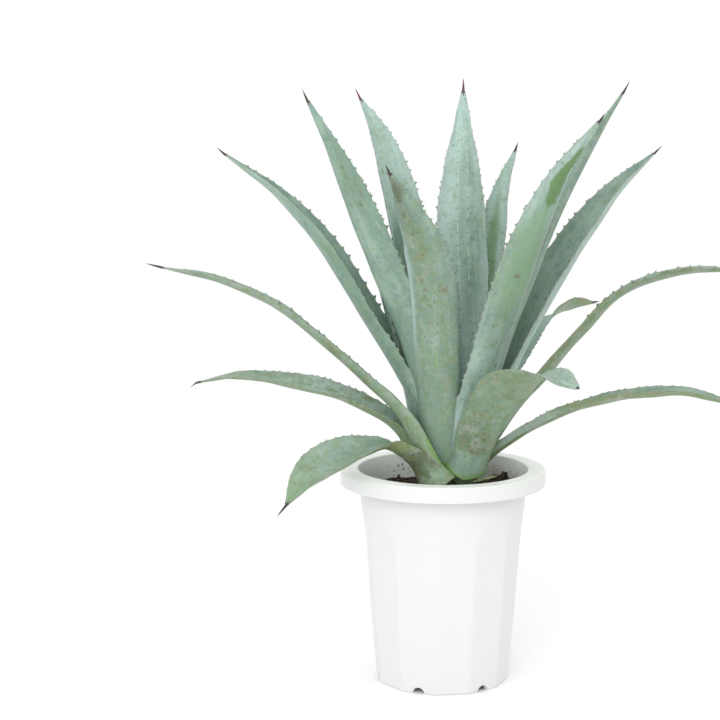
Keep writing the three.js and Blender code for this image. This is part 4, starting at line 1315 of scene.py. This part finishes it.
class PLANT_OT_soil(Operator):
    """Make the soil: an uneven plug with crumbs, bark chips and grit on it"""

    bl_idname = "plant.soil"
    bl_label = "Soil"

    def execute(self, context):
        settings = context.scene.plant_soil
        material = soil_skin(settings)
        gap = 0.3 * MM
        side = [(INNER_WALL[0, 0] - gap, BASE_TOP + gap), (INNER_WALL[1, 0] - gap, INNER_WALL[1, 1])]
        rings = np.linspace(SOIL_EDGE, 0, 66)
        top = np.stack([rings, np.full(rings.shape, SOIL_TOP)], -1)
        profile = np.concatenate([[(0, BASE_TOP + gap)], side, top])

        def shape(radius, height, angles):
            surface = soil_height(radius * np.cos(angles), radius * np.sin(angles))
            return radius, np.where(height >= SOIL_TOP, surface, height)

        ground = turned_piece("soil_plug", profile, full_turn(200), material, shape)
        x, y, _ = points_of(ground).T
        draw = np.random.default_rng(TONE_SEED)
        store(ground, "tone", 0.25 + 0.2 * read_waves(draw_waves(draw, 20, 90, 90), x, y))
        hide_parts("soil")
        self.scatter(settings, material)
        return {"FINISHED"}

    def scatter(self, settings, material):
        """Crumbs and bark spread evenly over the surface, sizes falling off fast."""
        draw = np.random.default_rng(SCATTER_SEED)
        kinds = [
            ("soil_crumbs", settings.crumbs, 0.7, 2.6, 0.3, (0.1, 0.62)),
            ("soil_bark", settings.barks, 3.0, 6.5, 0.62, (0.3, 0.85)),
            ("soil_grit", settings.crumbs // 14, 0.6, 1.5, 0.3, (0.9, 1.2)),
        ]
        for name, count, least, most, flatness, tones in kinds:
            radius = (SOIL_EDGE - 2 * MM) * np.sqrt(draw.uniform(0.03, 1, count))
            angle = draw.uniform(0, 2 * np.pi, count)
            size = least + (most - least) * draw.uniform(0, 1, count) ** 3
            x = radius * np.cos(angle)
            y = radius * np.sin(angle)
            middles = np.stack([x, y, soil_height(x, y) + 0.15 * size * MM], -1)
            points, faces = lumps(draw, middles, size * MM, flatness)
            piece = new_piece(name, points, faces, material, sharp=35)
            store(piece, "tone", np.repeat(draw.uniform(*tones, count), LUMP_CORNERS))


class PLANT_OT_stem(Operator):
    """Make the stem: a fibrous stub with the rings of old leaf bases"""

    bl_idname = "plant.stem"
    bl_label = "Stem"

    def execute(self, context):
        top = STEM_PROFILE[-1, 1]
        profile = np.concatenate([[(0, STEM_FOOT)], STEM_PROFILE, [(0, top)]])
        waves = draw_waves(np.random.default_rng(STEM_SEED), 9, 60, 12)

        def shape(radius, height, angles):
            rings = 0.7 * MM * np.cos(2 * np.pi * (height - STEM_FOOT) / STEM_RING)
            fibres = 0.5 * MM * read_waves(waves, height, angles / (2 * np.pi) * 6)
            steady = ease(radius, 0, 12 * MM)
            return radius + steady * (rings + fibres - 0.8 * MM), height

        profile = divided(profile, 2 * MM)
        stem = turned_piece("stem_stub", profile, full_turn(96), stem_skin(), shape)
        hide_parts("stem")
        return {"FINISHED"}


class PLANT_OT_spear(Operator):
    """Make the spear: unopened leaves rolled round each other, with a lapping edge"""

    bl_idname = "plant.spear"
    bl_label = "Spear"

    def execute(self, context):
        material = leaf_skin("young_skin", context.scene.plant_leaves)
        spear = np.array(SPEAR) * MM
        rows, columns = 150, 48
        s = np.linspace(0, 1, rows)[:, None]
        angle = full_turn(columns)[None, :]
        foot, top = spear[0, 0], spear[-1, 0]
        height = foot + (top - foot) * s
        radius = np.interp(height, spear[:, 0], spear[:, 1])
        # The edge winds 0.8 times round the spear, and the radius steps in by 7 % behind it
        lap = (angle / (2 * np.pi) + 0.8 * s) % 1
        radius = radius * (0.93 + 0.07 * lap * ease(lap, 1, 0.94))
        x = SPEAR_LEAN * (height - foot) + radius * np.cos(angle)
        points = np.stack([x, radius * np.sin(angle), height * np.ones(radius.shape)], -1)
        piece = new_piece("spear_roll", points, tube_faces(rows, columns), material)
        flat = np.ones(radius.shape)
        for name, value in dict(wax=0.6, frost=0.3, fresh=0.15).items():
            store(piece, name, value * flat)
        store(piece, "horn", ease(height, top - 14 * MM, top - 4 * MM) * flat)
        around = angle * 10 * MM * flat
        store(piece, "grain", np.stack([around, height * flat, 55 * flat], -1))
        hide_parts("spear")
        return {"FINISHED"}


class PLANT_OT_leaves(Operator):
    """Make the skin of the twenty leaves over their solids"""

    bl_idname = "plant.leaves"
    bl_label = "Leaves"

    def execute(self, context):
        settings = context.scene.plant_leaves
        skins = {False: leaf_skin("leaf_skin", settings), True: leaf_skin("old_skin", settings)}
        for blade in blades():
            make_blade(blade, skins[blade.leaf.get("old", False)])
        return {"FINISHED"}


class PLANT_OT_horn(Operator):
    """Make the teeth and the spine of each leaf"""

    bl_idname = "plant.horn"
    bl_label = "Teeth and spines"

    def execute(self, context):
        material = horn_skin(context.scene.plant_leaves)
        for blade in blades():
            make_horn(blade, material)
        return {"FINISHED"}


class PLANT_OT_litter(Operator):
    """Make the specks of soil on the pot's inner wall and the strip of an old leaf"""

    bl_idname = "plant.litter"
    bl_label = "Litter"

    def execute(self, context):
        settings = context.scene.plant_soil
        draw = np.random.default_rng(SPECKS_SEED)
        count = settings.specks
        gathered = np.arange(count) < count // 3
        around = draw.uniform(0, 2 * np.pi, count)
        angle = np.where(gathered, SPECKS_AT + 0.17 * draw.normal(size=count), around)
        falloff = np.where(gathered, 0.8, 2.2)
        height = SOIL_TOP + 20 * MM * draw.uniform(0, 1, count) ** falloff
        size = (0.35 + 0.9 * draw.uniform(0, 1, count) ** 3) * MM
        radius = inner_radius(height) - 0.3 * size
        middles = np.stack([radius * np.cos(angle), radius * np.sin(angle), height], -1)
        points, faces = lumps(draw, middles, size, 0.4)
        material = bpy.data.materials["potting_soil"]
        piece = new_piece("wall_specks", points, faces, material, sharp=35)
        store(piece, "tone", np.repeat(draw.uniform(0.05, 0.5, count), LUMP_CORNERS))
        make_strip()
        return {"FINISHED"}


def strip_skin():
    """Dry leaf, pale yellow-green."""
    strip = Recipe("strip_skin")
    mottle = strip.noise(strip.place(), 260, 3.0)
    share = strip.between(mottle, 0.35, 0.65)
    colour = strip.mix(share, display(236, 242, 196), display(184, 208, 134))
    normal = strip.bump(mottle, 0.2 * MM)
    return strip.finish(Base_Color=colour, Roughness=0.6, Normal=normal)


def make_strip():
    """A strip of an old leaf that rises from the stem over the soil.

    Its middle follows the quadratic curve of its three points. Its section is an ellipse,
    STRIP_HALF_WIDTH * sin(pi s) ** 0.6 half wide and three quarters as thick.
    """
    rows, columns = 30, 10
    s = np.linspace(0.01, 0.99, rows)[:, None]
    middle = bent(*STRIP, s)
    along = unit(np.gradient(middle, axis=0))
    side = unit(np.cross(along, [0, 0, 1]))
    angle = full_turn(columns)
    half = STRIP_HALF_WIDTH * np.sin(np.pi * s[:, :, None]) ** 0.6
    wide = np.cos(angle)[:, None] * side[:, None]
    thick = np.sin(angle)[:, None] * np.cross(side, along)[:, None] * 0.75
    points = middle[:, None] + half * (wide + thick)
    piece = new_piece("leaf_strip", points, tube_faces(rows, columns), strip_skin(), sharp=60)


def area_light(name, place, target, size, power):
    """A square light that faces its target."""
    data = bpy.data.lights.new(name, "AREA")
    data.size = size
    data.energy = power
    light = bpy.data.objects.new(name, data)
    back = unit(np.subtract(place, target))
    side = unit(np.cross([0, 0, 1], back))
    matrix = np.eye(4)
    matrix[:3, :3] = np.stack([side, np.cross(back, side), back], -1)
    matrix[:3, 3] = place
    light.matrix_world = matrix.T.tolist()
    bpy.context.scene.collection.objects.link(light)


def make_floor(settings):
    """The floor: a flat square just under the foot."""
    corners = np.array([[-1, -1, 0], [1, -1, 0], [1, 1, 0], [-1, 1, 0]]) * FLOOR_REACH
    floor = new_object("floor", corners, [[0, 1, 2, 3]])
    floor.data.materials.append(floor_skin(settings))
    return floor


class PLANT_OT_stage(Operator):
    """Make the pale floor, the even sky, two soft lights and the camera"""

    bl_idname = "plant.stage"
    bl_label = "Stage"

    def execute(self, context):
        settings = context.scene.plant_stage
        scene = context.scene
        floor = make_floor(settings)
        world = bpy.data.worlds.new("studio")
        world.use_nodes = True
        sky = world.node_tree.nodes["Background"]
        sky.inputs["Color"].default_value = (1, 1, 1, 1)
        sky.inputs["Strength"].default_value = settings.sky
        scene.world = world
        area_light("key_light", (-0.6, -2.6, 1.4), LIGHT_TARGET, 1.4, settings.key)
        area_light("fill_light", (2.4, -1.2, 1.2), LIGHT_TARGET, 1.8, settings.fill)
        camera = bpy.data.cameras.new("camera")
        camera.lens = FOCAL_LENGTH
        camera.sensor_width = SENSOR_WIDTH
        view = bpy.data.objects.new("camera", camera)
        view.location = (0, -settings.camera_distance, settings.camera_height)
        view.rotation_euler = (np.pi / 2 - LOOKS_DOWN, 0, LOOKS_LEFT)
        scene.collection.objects.link(view)
        scene.camera = view
        scene.view_settings.view_transform = "Standard"
        return {"FINISHED"}


class PLANT_PT_panel(Panel):
    """Lists the pieces of the potted century plant"""

    bl_idname = "PLANT_PT_panel"
    bl_label = "Century Plant"
    bl_space_type = "VIEW_3D"
    bl_region_type = "UI"
    bl_category = "Century Plant"

    def draw(self, context):
        for operator in OPERATORS:
            self.layout.operator(operator.bl_idname)


SETTINGS = {
    "plant_leaves": PlantLeafSettings,
    "plant_pot": PlantPotSettings,
    "plant_soil": PlantSoilSettings,
    "plant_stage": PlantStageSettings,
}
OPERATORS = [
    PLANT_OT_stage,
    PLANT_OT_pot,
    PLANT_OT_soil,
    PLANT_OT_stem,
    PLANT_OT_spear,
    PLANT_OT_leaves,
    PLANT_OT_horn,
    PLANT_OT_litter,
]


def register():
    """Registers the settings, the operators and the panel."""
    for name, settings in SETTINGS.items():
        bpy.utils.register_class(settings)
        setattr(bpy.types.Scene, name, PointerProperty(type=settings))
    for operator in OPERATORS:
        bpy.utils.register_class(operator)
    bpy.utils.register_class(PLANT_PT_panel)


def unregister():
    """Takes the panel, the operators and the settings away again."""
    bpy.utils.unregister_class(PLANT_PT_panel)
    for operator in reversed(OPERATORS):
        bpy.utils.unregister_class(operator)
    for name, settings in reversed(SETTINGS.items()):
        delattr(bpy.types.Scene, name)
        bpy.utils.unregister_class(settings)


def main():
    """Makes every piece in order."""
    register()
    for operator in OPERATORS:
        group, name = operator.bl_idname.split(".")
        getattr(getattr(bpy.ops, group), name)()


if __name__ == "__main__":
    main()
